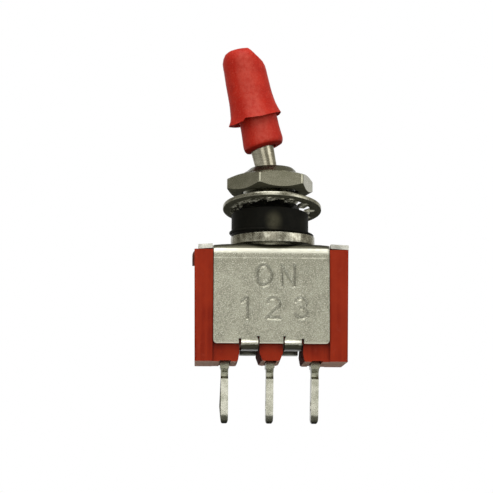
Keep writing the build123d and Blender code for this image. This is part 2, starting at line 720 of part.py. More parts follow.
def hex_nut():
    corner = NUT_FLATS / sqrt(3)
    prism = extrude(RegularPolygon(corner, 6), NUT_HEIGHT)
    prism = fillet(prism.edges().filter_by(Axis.Z), NUT_CORNER)
    drop = (corner - NUT_FLATS / 2) * tan(radians(NUT_CHAMFER))
    blank = turned(
        (0, 0),
        (NUT_FLATS / 2, 0),
        (corner, drop),
        (corner, NUT_HEIGHT - drop),
        (NUT_FLATS / 2, NUT_HEIGHT),
        (0, NUT_HEIGHT),
    )
    nut = prism & blank
    nut -= Cylinder(THREAD_RADIUS + NUT_FIT, 4 * NUT_HEIGHT)
    return Pos(0, 0, NUT_BOTTOM) * Rot(-NUT_LEAN, 0, 0) * Rot(0, 0, -90 + NUT_TURN) * nut


# ---- the pieces, each written to its own file --------------------------------


def write_pieces():
    right_lug = right_terminal()
    right_fixed = right_fixed_contact()
    pieces = {
        "housing": housing(),
        "frame": frame(),
        "common_terminal": common_terminal(),
        "right_terminal": right_lug,
        "left_terminal": mirror(right_lug, Plane.YZ),
        "right_fixed_contact": right_fixed,
        "left_fixed_contact": mirror(right_fixed, Plane.YZ),
        "rocker": rocker(),
        "right_moving_contact": moving_contact(1),
        "left_moving_contact": moving_contact(-1),
        "bushing": bushing(),
        "pivot_pin": pivot_pin(),
        "lever": lever(),
        "lever_cap": lever_cap(),
        "plunger": plunger(),
        "plunger_spring": plunger_spring(),
        "bushing_ring": bushing_ring(),
        "rubber_sleeve": rubber_sleeve(),
        "lock_washer": lock_washer(),
        "hex_nut": hex_nut(),
    }
    os.makedirs("parts", exist_ok=True)
    for name, piece in pieces.items():
        export_step(piece, f"parts/{name}.step")


write_pieces()
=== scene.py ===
from functools import partial
from math import atan2, cos, degrees, hypot, pi, radians, sin, tan

import bmesh
import bpy
from mathutils import Matrix, Vector, noise


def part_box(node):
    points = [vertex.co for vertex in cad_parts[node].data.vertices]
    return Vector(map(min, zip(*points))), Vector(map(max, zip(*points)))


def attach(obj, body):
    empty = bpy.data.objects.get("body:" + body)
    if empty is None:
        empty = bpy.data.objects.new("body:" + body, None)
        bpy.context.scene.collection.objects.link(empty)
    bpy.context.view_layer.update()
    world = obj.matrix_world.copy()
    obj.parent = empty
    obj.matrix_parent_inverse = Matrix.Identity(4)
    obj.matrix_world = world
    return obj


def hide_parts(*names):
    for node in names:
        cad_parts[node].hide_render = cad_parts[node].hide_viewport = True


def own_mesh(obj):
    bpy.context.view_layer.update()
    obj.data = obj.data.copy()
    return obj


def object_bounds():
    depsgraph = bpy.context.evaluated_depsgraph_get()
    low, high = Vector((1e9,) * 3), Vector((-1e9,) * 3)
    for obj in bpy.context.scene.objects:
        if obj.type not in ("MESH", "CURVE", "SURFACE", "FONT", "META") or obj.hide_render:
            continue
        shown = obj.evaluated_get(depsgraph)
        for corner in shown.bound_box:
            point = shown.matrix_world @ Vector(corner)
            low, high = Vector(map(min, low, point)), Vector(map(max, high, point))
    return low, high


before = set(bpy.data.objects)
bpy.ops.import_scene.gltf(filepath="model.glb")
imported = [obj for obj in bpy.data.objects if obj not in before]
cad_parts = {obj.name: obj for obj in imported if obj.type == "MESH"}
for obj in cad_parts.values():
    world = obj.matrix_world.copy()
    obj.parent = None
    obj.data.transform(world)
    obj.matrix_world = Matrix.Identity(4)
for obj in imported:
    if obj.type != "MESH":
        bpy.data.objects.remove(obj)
cad_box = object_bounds()
MM = 0.001


# ---- The bench --------------------------------------------------------------
# A pale painted bench top that the lugs stand on, under a white sky. It is seen from above
# only, so that a low view still looks past it at the sky.

BENCH_SIZE = 700 * MM
BENCH_PAINT = "#f2f2ef"
BENCH_BOUNCE = "#8d8b84"         # what it throws back up at the switch
SKY_WHITE = "#ffffff"
SKY_FILL = "#f4f6f8"
FILL_LEVEL = 0.6
ROOM_GREY = "#c3c0b4"            # what bright metal sees away from the backdrop
ROOM_LEVELS = (0.5, 0.85)        # how bright it is at the left, and at the window on the right
WINDOW_EDGES = (-0.7, 0.9)       # how far to the right a ray points for each of them
BACKDROP_EDGES = (0.7, 0.93)     # how straight to the back, to miss the backdrop or to meet it
USUAL = {"TexNoise": {"Roughness": 0.55}}    # how strong the fine parts of every cloudy pattern are


def linear(hex_colour):
    """An sRGB hex colour as linear red, green, blue and alpha."""
    channels = [int(hex_colour[i : i + 2], 16) / 255 for i in (1, 3, 5)]
    linear_channels = [c / 12.92 if c <= 0.04045 else ((c + 0.055) / 1.055) ** 2.4 for c in channels]
    return (*linear_channels, 1.0)


def add_node(tree, kind, *values, **named):
    """Adds a node. Values go to its sockets in order, or by name; settings are in small letters.

    A hex colour is made linear, and a node given as a value stands for its first output. A tuple
    that opens with a node is its share of the way between two levels, or maps them to two others.
    """
    named = USUAL.get(kind, {}) | named
    node = tree.nodes.new("ShaderNode" + kind)
    for name in filter(str.islower, named):
        setattr(node, name, named[name])
    filled = list(zip([socket for socket in node.inputs if socket.enabled], values))
    filled += [(node.inputs[name.replace("_", " ")], named[name]) for name in named if not name.islower()]
    for socket, value in filled:
        if isinstance(value, tuple) and not isinstance(value[0], (int, float)):
            value = add_node(tree, "MapRange", *value)
        if isinstance(value, bpy.types.Node):
            value = next(output for output in value.outputs if output.enabled)
        if isinstance(value, bpy.types.NodeSocket):
            tree.links.new(value, socket)
        else:
            socket.default_value = linear(value) if isinstance(value, str) else value
    return node


def emptied(owner):
    """What adds nodes to a material or a world, which has none to begin with."""
    owner.use_nodes = True
    owner.node_tree.nodes.clear()
    return partial(add_node, owner.node_tree)


def new_material(name):
    """An empty material, and what adds nodes to it."""
    material = bpy.data.materials.new(name)
    return material, emptied(material)


def link_object(name, bm):
    """Turns a bmesh into an object at the origin."""
    mesh = bpy.data.meshes.new(name)
    bm.to_mesh(mesh)
    bm.free()
    thing = bpy.data.objects.new(name, mesh)
    bpy.context.scene.collection.objects.link(thing)
    return thing


bench_bm = bmesh.new()
bmesh.ops.create_grid(bench_bm, x_segments=1, y_segments=1, size=BENCH_SIZE / 2)
bmesh.ops.translate(bench_bm, vec=(0, 0, cad_box[0][2]), verts=bench_bm.verts)
bench = link_object("bench", bench_bm)


def seen_or_mirrored(add):
    """One for rays from the camera, or on their way from it off or through a surface."""
    rays = add("LightPath")
    mirrored = add(
        "Math", rays.outputs["Is Glossy Ray"], rays.outputs["Is Transmission Ray"], operation="MAXIMUM"
    )
    seen = add("Math", rays.outputs["Is Camera Ray"], mirrored, operation="MAXIMUM")
    return rays, seen


# Flat off-white paint: plain to the eye, and dimmer in the light it throws back.
bench_paint, add = new_material("bench_paint")
geometry = add("NewGeometry")
seen = seen_or_mirrored(add)[1]
paint = add("BsdfDiffuse", Color=BENCH_PAINT)
bounce = add("BsdfDiffuse", Color=BENCH_BOUNCE)
top = add("MixShader", seen, bounce, paint)
under = add("BsdfTransparent")
two_sided = add("MixShader", geometry.outputs["Backfacing"], top, under)
add("OutputMaterial", two_sided)
bench.data.materials.append(bench_paint)

sky = bpy.data.worlds.new("sky")
bpy.context.scene.world = sky
add = emptied(sky)
rays, seen = seen_or_mirrored(add)
fill_light = add("Background", Color=SKY_FILL, Strength=FILL_LEVEL)
white_sky = add("Background", Color=SKY_WHITE, Strength=1.0)
# Metal sees the white backdrop behind the switch, and a dimmer room round it that is lighter
# on the right, where its window is.
gaze = add("SeparateXYZ", add("TexCoord").outputs["Generated"]).outputs
window = add("MapRange", gaze["X"], *WINDOW_EDGES, *ROOM_LEVELS, interpolation_type="SMOOTHSTEP")
dim_room = add("Background", Color=ROOM_GREY, Strength=window)
backdrop = add("MapRange", gaze["Y"], *BACKDROP_EDGES, interpolation_type="SMOOTHSTEP")
metal_sees = add("MixShader", backdrop, dim_room, white_sky)
seen_sky = add("MixShader", rays.outputs["Is Camera Ray"], metal_sees, white_sky)
both_skies = add("MixShader", seen, fill_light, seen_sky)
add("OutputWorld", Surface=both_skies)


# ---- The camera and the lamps -----------------------------------------------
# A long lens a little below the lugs, looking up at the switch, and three soft boxes: a large
# one overhead, which draws the bright line along the frame's bend, and two weaker ones.

CAMERA_PLACE = Vector((-7.554, -164.827, -24.054)) * MM
CAMERA_YAW = radians(1.767)
CAMERA_PITCH = radians(8.418)
CAMERA_ROLL = radians(0.297)
CAMERA_LENS = 115.645

lens = bpy.data.cameras.new("camera")
lens.lens = CAMERA_LENS
lens.sensor_width = 36
lens.clip_start = 10 * MM
camera = bpy.data.objects.new("camera", lens)
camera.matrix_world = (
    Matrix.Translation(CAMERA_PLACE)
    @ Matrix.Rotation(-CAMERA_YAW, 4, "Z")
    @ Matrix.Rotation(pi / 2 + CAMERA_PITCH, 4, "X")
    @ Matrix.Rotation(CAMERA_ROLL, 4, "Z")
)
bpy.context.scene.collection.objects.link(camera)
bpy.context.scene.camera = camera


def soft_box(name, place, size, power):
    """A square lamp that faces the middle of the switch."""
    lamp = bpy.data.lights.new(name, "AREA")
    lamp.shape = "SQUARE"
    lamp.size = size * MM
    lamp.energy = power
    box = bpy.data.objects.new(name, lamp)
    place = Vector(place) * MM
    box.matrix_world = Matrix.Translation(place) @ place.to_track_quat("Z", "Y").to_matrix().to_4x4()
    bpy.context.scene.collection.objects.link(box)


soft_box("overhead_box", (-30, -112, 235), 225, 0.52)
soft_box("right_box", (230, -120, 70), 140, 0.12)
soft_box("front_box", (-40, -280, 90), 180, 0.14)


# ---- The housing ------------------------------------------------------------
# A box moulded in red glass-filled nylon, open at the top, with an end column on each side
# of the frame's legs and a block round every lug. Its corners are a little rounded.

HOUSING_EDGE = 0.07
HOUSING_RED = "#9c2907"
HOUSING_DEEP = "#861c00"
HOUSING_STREAK = "#9c2c0c"
HOUSING_CHALK = "#a5402f"        # where it is scuffed
HOUSING_GLOSS = 0.12             # its skin is starved of resin, so it mirrors little
# painted shade in the housing's corners
HOUSING_CORNER_SHADE = "#3c0d04"
# the ground feet, painted paler to stand in for the sheen they catch
HOUSING_FOOT_SHEEN = "#d3b3a3"
# painted shade on the blocks' inner sides, between the lugs
HOUSING_GAP_SHADE = "#260b05"
GAP_SHADE_HEIGHTS = (-9.6, -10.2)     # where it begins, and where it is thick
GAP_SHADE_REACH = 4.4                 # from the middle, to the end lugs
PIT_CEILING = -11.55             # of the pit round each lug, closed at both ends by a ramp
PIT_SIDES = ((0, 0.66), (4.0, 5.35))    # from the middle, of the middle pit and of an outer one
PIT_END = 3.15
PIT_DROP = 0.37
BLOCK_SPLIT = 2.3                # how far from the middle the outer blocks begin
FOOT_TOP = -11.8
FOOT_DROP = 0.06                 # the outer blocks were ground less than the middle one
CHANNEL_TOP = -10.1
CHANNEL_SIDES = ((0.6, 0.83), (4.1, 3.85))    # nothing moves beyond these, inside the blocks
CHANNEL_FILL = (0.11, 0.27)      # how far the middle and outer blocks' feet reach into the channels
FILL_HEIGHTS = (-10.9, -11.6)    # where they begin to, and where they reach all the way
CHANNEL_DRAFT = 0.14             # how much wider the middle block is at the back
MIDDLE_BLOCK = 1.35              # its half width, with some room
MOULD_GRAIN = 0.14               # a spark-eroded mould's texture, drawn a little coarse to show
DRAG_WIDTH = 0.55                # streaks drawn up the columns as the moulding left the tool
DRAG_LENGTH = 14.0


def merged_copy(node):
    """A node's mesh with its loose triangles joined up and its flat faces made whole."""
    bm = bmesh.new()
    bm.from_mesh(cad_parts[node].data)
    bmesh.ops.remove_doubles(bm, verts=bm.verts, dist=0.0005 * MM)
    bmesh.ops.dissolve_limit(bm, angle_limit=radians(0.4), verts=bm.verts, edges=bm.edges)
    return bm


def middle_of(face):
    """A face's middle, in millimetres."""
    return face.calc_center_median() / MM


def break_edges(bm, width, angle=28, segments=2, where=None):
    """Rounds the sharp edges, or those of them that lie where a test says."""
    edges = [e for e in bm.edges if len(e.link_faces) == 2 and e.calc_face_angle() > radians(angle)]
    bmesh.ops.bevel(
        bm, geom=[e for e in edges if where is None or where(e)], offset=width * MM,
        offset_type="OFFSET", segments=segments, profile=0.5, affect="EDGES", clamp_overlap=True,
        material=-1,
    )


def sliced(bm, parts, axis, places):
    """Cuts faces at several places along an axis, and returns all their parts."""
    for at in places:
        plane_co, plane_no = Vector(), Vector()
        plane_co[axis], plane_no[axis] = at * MM, 1
        whole = {v for f in parts for v in f.verts} | {e for f in parts for e in f.edges}
        cut = bmesh.ops.bisect_plane(bm, geom=list(whole) + parts, plane_co=plane_co, plane_no=plane_no)
        parts = [g for g in cut["geom"] if isinstance(g, bmesh.types.BMFace)]
    return parts


def ramp(value, start, end):
    """An even slope from nought at the start to one at the end."""
    return max(0.0, min(1.0, (value - start) / (end - start)))


def rising(value, start, end):
    """A smooth step from nought at the start to one at the end."""
    share = ramp(value, start, end)
    return share * share * (3 - 2 * share)


def fit_piece(name, bm, material, body, node, crease=32):
    """Makes the piece, smooth between its creases, and lets it ride and stand for its CAD node."""
    for piece_face in bm.faces:
        piece_face.smooth = True
    for edge in bm.edges:
        edge.smooth = edge.calc_face_angle(0) < radians(crease)
    piece = link_object(name, bm)
    piece.data.materials.append(material)
    flats = piece.modifiers.new("even_flats", "WEIGHTED_NORMAL")
    flats.keep_sharp = True
    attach(piece, body)
    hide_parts(node)
    return piece


def place_in_mm(add):
    """The place in the object, in millimetres."""
    place = add("TexCoord").outputs["Object"]
    return add("VectorMath", place, operation="SCALE", Scale=1 / MM)


def facing_of(add):
    """How squarely the surface faces along each axis, from -1 to 1."""
    return add("SeparateXYZ", add("TexCoord").outputs["Normal"]).outputs


def crevice_shade(add, reach):
    """Painted shade: one deep in a corner and nought in the open, by occlusion within so many millimetres.
    """
    open_share = add("AmbientOcclusion", Distance=reach * MM, samples=6).outputs["AO"]
    return add("MapRange", open_share, 0.75, 0.3)


def overlap(add, *shares):
    """What several shares have in common: all of them multiplied together."""
    common = shares[0]
    for share in shares[1:]:
        common = add("Math", common, share, operation="MULTIPLY")
    return common


def layered(add, colour, layers):
    """Lays shades over a colour one after another, each as thick as its share says."""
    for share, shade in layers:
        colour = add("Mix", share, colour, shade, data_type="RGBA")
    return colour


# Glass-filled nylon, spark-eroded mould: a satin red that pales where it is scuffed, with a
# fine pebble grain and faint streaks up its sides. Its ground-off feet are painted pale, for a
# chalky sheen, and painted shade darkens its corners and the inner sides of the blocks.
moulded_nylon, add = new_material("moulded_red_nylon")
place, facing = place_in_mm(add), facing_of(add)
across, _, height = add("SeparateXYZ", place).outputs
clouds, scuffing, grain = (
    add("TexNoise", place, Scale=1 / size, Detail=detail)
    for size, detail in ((2.6, 2), (0.7, 6), (MOULD_GRAIN, 3))
)
dragged = add("Mapping", place, Scale=(1, 1, DRAG_WIDTH / DRAG_LENGTH))
streaks = add("TexNoise", dragged, Scale=1 / DRAG_WIDTH)
scuffs = add("MapRange", scuffing, 0.6, 0.78)
# The downward faces: ground feet, painted pale as a painted sheen.
ground = overlap(add, (facing["Z"], -0.5, -0.9), (scuffs, 0, 1, 0.75, 1))
# Painted shade on the blocks' inner sides between the lugs.
sideways = add("Math", facing["X"], operation="ABSOLUTE")
between_lugs = add("Math", across, 0, GAP_SHADE_REACH, operation="COMPARE")
gap_shade = overlap(add, (sideways, 0.35, 0.7), (height, *GAP_SHADE_HEIGHTS), between_lugs)
# The housing's colour, with painted shade in its corners.
colour = layered(add, HOUSING_DEEP, (
    ((clouds, 0.35, 0.65), HOUSING_RED),
    ((streaks, 0.42, 0.62, 0, 0.6), HOUSING_STREAK),
    (overlap(add, scuffs, 0.35), HOUSING_CHALK),
    (overlap(add, crevice_shade(add, 0.7), 0.8), HOUSING_CORNER_SHADE),
    (ground, HOUSING_FOOT_SHEEN),
    (overlap(add, gap_shade, 0.85), HOUSING_GAP_SHADE),
))
rough = add("MapRange", grain, 0.3, 0.7, 0.42, 0.56)
for matt in (ground, gap_shade):
    rough = add("Math", rough, matt, operation="MAXIMUM")
relief = add("Bump", Height=streaks, Distance=0.02 * MM)
relief = add("Bump", Height=grain, Distance=0.006 * MM, Normal=relief)
shader = add(
    "BsdfPrincipled", Base_Color=colour, IOR=1.53, Specular_IOR_Level=HOUSING_GLOSS, Roughness=rough,
    Normal=relief,
)
add("OutputMaterial", shader)

housing_bm = merged_copy("housing")
pits = [f for f in housing_bm.faces if f.normal.z < -0.99 and abs(middle_of(f).z - PIT_CEILING) < 0.02]
sliced(housing_bm, pits, 1, (-PIT_END, PIT_END))
break_edges(housing_bm, HOUSING_EDGE)
(block_in, block_edge), (outer_in, outer_edge) = CHANNEL_SIDES
for vert in housing_bm.verts:
    x, y, z = abs(vert.co.x) / MM, vert.co.y / MM, vert.co.z / MM
    outer = x > BLOCK_SPLIT
    in_pit = any(near <= x < far for near, far in PIT_SIDES)
    if in_pit and abs(z - PIT_CEILING) < 0.12 and abs(y) > PIT_END + 0.1:
        vert.co.z -= PIT_DROP * MM
    if outer and z < FOOT_TOP:
        vert.co.z -= FOOT_DROP * MM
    if z < CHANNEL_TOP and block_in < x < outer_in:
        into = (-1 if outer else 1) * (1 if vert.co.x > 0 else -1)
        beside = rising(x, block_in, block_edge) * rising(x, outer_in, outer_edge)
        vert.co.x += into * CHANNEL_FILL[outer] * rising(z, *FILL_HEIGHTS) * beside * MM
        vert.co.x += into * CHANNEL_DRAFT * rising(y, -3, 3) * beside * (x < MIDDLE_BLOCK) * MM
fit_piece("moulded_housing", housing_bm, moulded_nylon, "switch_body", "housing")


# ---- The terminals ----------------------------------------------------------
# Three lugs blanked from 0.76 mm brass strip and silver-plated, pressed up through the floor.
# Each stands edge-on, with a shoulder at the housing, a neck and a round tip with an eye.

TERMINAL_EDGE = 0.13
LUG_SILVER = "#cdccbe"
LUG_GREY = "#a3a392"
# painted shade on the round tips
LUG_TIP_SHADE = "#3f4031"
# painted shade on the neck below the housing
LUG_NECK_SHADE = "#7f7f6c"
LUG_LEFT_SHADE = "#5c5b50"             # painted shade on their left sides
LUG_RIM_SHADE = "#33322a"              # painted shade along the lugs' narrow sides
LUG_ROOT_SHADE = "#4a2114"             # painted shade where a lug leaves the housing
# painted shade in the metal parts' corners
METAL_CORNER_SHADE = "#201f14"
LUG_PLACES = {"common": 0.0, "right": 4.7, "left": -4.7}
LUG_LEANS = {"common": -0.05, "right": -0.09, "left": 0.0}    # how far each tip is bent over
LUG_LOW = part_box("common_terminal")[0].z / MM
LUG_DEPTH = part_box("common_terminal")[1].y / MM
LUG_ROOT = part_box("housing")[0].z / MM    # where a lug leaves the housing
LUG_BARE = -12                   # below this nothing covers its edges
NECK_SHADE_DROP = 1.55                 # how far below the root the painted shade on the neck reaches
TIP_SHADE_HEIGHT = 0.95               # how far up the round tip the painted shade goes
TIP_ROUND = 0.42                 # how far up the blanked tip is rolled thin
TIP_THIN = 0.5                   # half of its thickness is left at the very end
BURR = (-16.45, 0.6, 0.13)       # height, half length and size of the burr on the left lug
RAGGED = 0.3                     # how far the edge of a colour band strays up and down


def worn_metal(
    name, light, dark, grain, roughness, streak=None, patch=1.6, bump=0.004, extra_layers=None, under=None,
    corner_shade=0.0,
):
    """Plated metal: clouds of two greys, a fine grain, and streaks or extra layers if asked.

    Its undersides may get painted shade and a duller finish, and its corners painted shade.
    """
    material, add = new_material(name)
    place = place_in_mm(add)
    clouds = add("TexNoise", place, Scale=1 / patch, Detail=5)
    fine = add("TexNoise", place, Scale=1 / grain, Detail=4)
    layers = [((clouds, 0.36, 0.62), light), ((fine, 0.35, 0.7, 0, 0.45), light)]
    relief = add("Bump", Height=fine, Distance=bump * MM)
    rough, metallic = add("MapRange", fine, 0.3, 0.7, *roughness), 1.0
    if streak:
        width, stretch = streak
        drawn = add("Mapping", place, Scale=stretch)
        lines = add("TexNoise", drawn, Scale=1 / width, Detail=4)
        layers.append(((lines, 0.42, 0.66, 0, 0.8), dark))
        relief = add("Bump", Height=lines, Distance=2 * bump * MM, Normal=relief)
    # Painted shade on the undersides, which are also made duller and less metallic.
    if under:
        shaded_underside = add("MapRange", facing_of(add)["Z"], -0.15, -0.55)
        layers.append((shaded_underside, under))
        rough = add("Math", rough, shaded_underside, operation="MAXIMUM")
        metallic = add("MapRange", shaded_underside, 0, 1, 1, 0.2)
    # Painted shade in the corners.
    if corner_shade:
        layers.append((overlap(add, crevice_shade(add, corner_shade), 0.85), METAL_CORNER_SHADE))
    if extra_layers:
        layers += extra_layers(add, place)
    shader = add(
        "BsdfPrincipled", Base_Color=layered(add, dark, layers), Metallic=metallic, Roughness=rough,
        Normal=relief,
    )
    add("OutputMaterial", shader)
    return material


def wavy_height(add, place):
    """The height in the object, with a ragged edge wherever it is cut off."""
    height = add("SeparateXYZ", place).outputs["Z"]
    waves = add("TexNoise", place, Scale=1 / 0.5)
    return add("Math", waves, RAGGED, height, operation="MULTIPLY_ADD")


def lug_painted_shade(add, place):
    """Painted shade on the tip, the left side, the neck, the rims and the root by the housing."""
    height = wavy_height(add, place)
    left = facing_of(add)["X"]
    sideways = add("Math", left, operation="ABSOLUTE")
    depth = add("Math", add("SeparateXYZ", place).outputs["Y"], operation="ABSOLUTE")
    rim = overlap(add, (depth, LUG_DEPTH - 0.3, LUG_DEPTH - 0.12), (sideways, 0.2, 0.6, 0, 0.9))
    tip, neck, root_shade = LUG_LOW + TIP_SHADE_HEIGHT, LUG_ROOT - NECK_SHADE_DROP, LUG_ROOT - 0.12
    return [
        ((height, tip + 0.1, tip - 0.1, 0, 0.8), LUG_TIP_SHADE),
        ((height, neck - 0.05, neck + 0.1, 0, 0.75), LUG_NECK_SHADE),
        ((left, -0.3, -0.7, 0, 0.7), LUG_LEFT_SHADE),
        (rim, LUG_RIM_SHADE),
        ((height, root_shade, root_shade + 0.35, 0, 0.95), LUG_ROOT_SHADE),
    ]


# Silver over brass, barrel-plated: a soft bright grey with cloudy stains, and painted shade darkening the
# tips.
silvered_brass = worn_metal(
    "silvered_brass", LUG_SILVER, LUG_GREY, 0.16, (0.2, 0.38), patch=0.9, extra_layers=lug_painted_shade, corner_shade=0.5
)

for side, middle in LUG_PLACES.items():
    lug_bm = merged_copy(f"{side}_terminal")
    break_edges(
        lug_bm, TERMINAL_EDGE, segments=3,
        where=lambda e: (e.verts[0].co.z + e.verts[1].co.z) / 2 < LUG_BARE * MM,
    )
    for vert in lug_bm.verts:
        off, height = vert.co.x / MM - middle, vert.co.z / MM
        thinned = 1 - ramp(height, LUG_LOW, LUG_LOW + TIP_ROUND)
        off *= TIP_THIN + (1 - TIP_THIN) * (1 - thinned**2) ** 0.5
        along_burr = (height - BURR[0]) / BURR[1]
        if side == "left" and off < 0 and abs(along_burr) < 1:
            off -= BURR[2] * cos(pi / 2 * along_burr) ** 2
        vert.co.x = (middle + off + LUG_LEANS[side] * ramp(height, LUG_ROOT, LUG_LOW)) * MM
    fit_piece(f"{side}_lug", lug_bm, silvered_brass, "switch_body", f"{side}_terminal")


# ---- The contacts and the rocker --------------------------------------------
# Silver rivets, two in the end terminals and two under the rocker, a bent strip of silvered
# brass that tips from one side to the other on the middle terminal.

# Solid silver, headed cold and slightly burnt by switching.
contact_silver = worn_metal("contact_silver", "#dcdad0", "#a19d90", 0.1, (0.22, 0.4), patch=0.5, bump=0.002)
# Rolled silvered brass: brighter, with fine rolling lines along the strip.
rolled_strip = worn_metal(
    "rolled_silvered_strip", "#d6d0bd", "#a39c84", 0.12, (0.2, 0.36), streak=(0.12, (0.06, 1, 1)),
    bump=0.002,
)


def finish_node(node, material):
    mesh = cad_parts[node].data
    mesh.materials.clear()
    mesh.materials.append(material)


for side in ("left", "right"):
    finish_node(f"{side}_fixed_contact", contact_silver)
    finish_node(f"{side}_moving_contact", contact_silver)
finish_node("rocker", rolled_strip)


# ---- The bushing ------------------------------------------------------------
# Turned in brass and nickel-plated, with a fine M6 thread cut from its shoulder to its
# chamfered nose. It is pressed into the frame from above and swaged over underneath.

THREAD_RADIUS = 3.0
THREAD_PITCH = 0.75
THREAD_DEPTH = 0.4
THREAD_START = 1.0
THREAD_END = 7.95
THREAD_STEPS = 72                # round one turn
NOSE_GREEN = "#5b5944"
NOSE_START = 8.1                 # of its chamfer
NOSE_END = 8.5
NOSE_DROP = 0.06
NOSE_SHIFT = 0.18                # the nose was chamfered a little off its centre


def nose_stains(add, place):
    """The chamfered nose, where the plating is thin and greenish."""
    wavy = wavy_height(add, place)
    return [((wavy, NOSE_START - 0.2, NOSE_START, 0, 0.75), NOSE_GREEN)]


# Nickel on turned brass: a warm grey with faint lines round it from the lathe, and painted shade in its
# corners.
nickelled_turning = worn_metal(
    "nickelled_turning", "#b0ae9e", "#84826f", 0.1, (0.2, 0.34), streak=(0.07, (0.08, 0.08, 1)),
    bump=0.0025, extra_layers=nose_stains, corner_shade=0.6,
)

bushing_bm = merged_copy("bushing")
sliced(bushing_bm, bushing_bm.faces[:], 2, (THREAD_START, THREAD_END))
plain_wall = [
    f for f in bushing_bm.faces
    if middle_of(f).xy.length > 0.97 * THREAD_RADIUS
    and THREAD_START < middle_of(f).z < THREAD_END
]
bmesh.ops.delete(bushing_bm, geom=plain_wall, context="FACES")

thread_bm = bmesh.new()
quarter = THREAD_PITCH / 4
root, crest = THREAD_RADIUS - THREAD_DEPTH, THREAD_RADIUS - 0.02
ridge = [(root, 0), (crest, 1.8 * quarter), (crest, 2.2 * quarter), (root, 4 * quarter)]
points = [thread_bm.verts.new((r * MM, 0, (THREAD_START - THREAD_PITCH + z) * MM)) for r, z in ridge]
lines = [thread_bm.edges.new(pair) for pair in zip(points, points[1:])]
turns = int((THREAD_END - THREAD_START) / THREAD_PITCH) + 3
bmesh.ops.spin(
    thread_bm, geom=points + lines, cent=(0, 0, 0), axis=(0, 0, 1), angle=2 * pi * turns,
    steps=THREAD_STEPS * turns, dvec=(0, 0, THREAD_PITCH / THREAD_STEPS * MM),
)
bmesh.ops.remove_doubles(thread_bm, verts=thread_bm.verts, dist=0.001 * MM)
for height, side in ((THREAD_START, -1), (THREAD_END, 1)):
    whole = thread_bm.verts[:] + thread_bm.edges[:] + thread_bm.faces[:]
    bmesh.ops.bisect_plane(
        thread_bm, geom=whole, plane_co=(0, 0, height * MM), plane_no=(0, 0, side), clear_outer=True
    )
inward = [f for f in thread_bm.faces if f.normal.xy.dot(middle_of(f).xy) < 0]
bmesh.ops.reverse_faces(thread_bm, faces=inward)
thread_mesh = bpy.data.meshes.new("thread")
thread_bm.to_mesh(thread_mesh)
thread_bm.free()
bushing_bm.from_mesh(thread_mesh)
bpy.data.meshes.remove(thread_mesh)
for height in (THREAD_START, THREAD_END):
    rims = [
        e for e in bushing_bm.edges
        if e.is_boundary and all(abs(v.co.z - height * MM) < 0.002 * MM for v in e.verts)
    ]
    bmesh.ops.bridge_loops(bushing_bm, edges=rims)
for vert in bushing_bm.verts:
    above = ramp(vert.co.z / MM, NOSE_START, NOSE_END)
    vert.co.x += NOSE_SHIFT * above * MM
    vert.co.z -= NOSE_DROP * above * MM
fit_piece("threaded_bushing", bushing_bm, nickelled_turning, "switch_body", "bushing")


# ---- The lever --------------------------------------------------------------
# A bat-shaped lever turned in brass with a ball to swing on, on a steel pin through the ball.
# A nylon plunger and a steel spring slide in its hollow arm and press on the rocker.

LEVER_PIVOT = Vector((0, 0, 6.9)) * MM
LEVER_TILT = radians(12.3)
STEM_SWELL = 0.03                # of its radius, where the stem leaves the ball
STEM_HEIGHTS = (1.9, 4, 12)      # above the pivot: where it leaves the ball, and where that fades
NYLON_WARM = "#d3ccb4"
NYLON_MILK = "#e2dcc8"

# Nickel over turned brass, polished by hand: brighter than the bushing, with lines round it.
polished_lever = worn_metal(
    "polished_lever_nickel", "#b3ae9c", "#7d7866", 0.08, (0.16, 0.3), streak=(0.06, (0.05, 0.05, 1)),
    bump=0.0015,
)
# Ground steel pin, grey and nearly smooth.
ground_steel = worn_metal("ground_steel", "#b5b3a8", "#8b897f", 0.06, (0.18, 0.3), patch=0.4, bump=0.001)
# Drawn spring steel with fine die lines along the wire.
drawn_wire = worn_metal(
    "drawn_spring_steel", "#bab8af", "#7f7d74", 0.05, (0.2, 0.34), patch=0.3, bump=0.001
)

# Natural nylon, turned: a milky satin with faint cutting lines.
turned_nylon, add = new_material("turned_natural_nylon")
place = place_in_mm(add)
cloud = add("TexNoise", place, Scale=1 / 0.6)
squashed = add("Mapping", place, Scale=(0.1, 0.1, 1))
cuts = add("TexNoise", squashed, Scale=1 / 0.08)
shader = add(
    "BsdfPrincipled", IOR=1.53, Roughness=(cloud, 0.3, 0.7, 0.38, 0.5),
    Base_Color=layered(add, NYLON_WARM, [((cloud, 0.35, 0.65), NYLON_MILK)]),
    Normal=add("Bump", Height=cuts, Distance=0.002 * MM),
)
add("OutputMaterial", shader)

lever_bm = merged_copy("lever")
to_upright = Matrix.Rotation(LEVER_TILT, 4, "Y") @ Matrix.Translation(-LEVER_PIVOT)
ball_end, fade_start, fade_end = STEM_HEIGHTS
for vert in lever_bm.verts:
    upright = to_upright @ vert.co
    if ball_end * MM < upright.z < fade_end * MM:
        swell = 1 + STEM_SWELL * ramp(upright.z / MM, fade_end, fade_start)
        upright = Vector((upright.x * swell, upright.y * swell, upright.z))
        vert.co = to_upright.inverted() @ upright
fit_piece("bat_lever", lever_bm, polished_lever, "lever", "lever")
finish_node("pivot_pin", ground_steel)
finish_node("plunger", turned_nylon)

coil_bm = merged_copy("plunger_spring")
coil = fit_piece("coiled_spring", coil_bm, drawn_wire, "lever", "plunger_spring")
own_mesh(coil)


# ---- The frame --------------------------------------------------------------
# Tinned sheet steel bent over the housing, 0.5 mm thick, with an ear down each end and two
# tabs folded under each side. Plain marks are stamped in the front leg with a blunt tool.

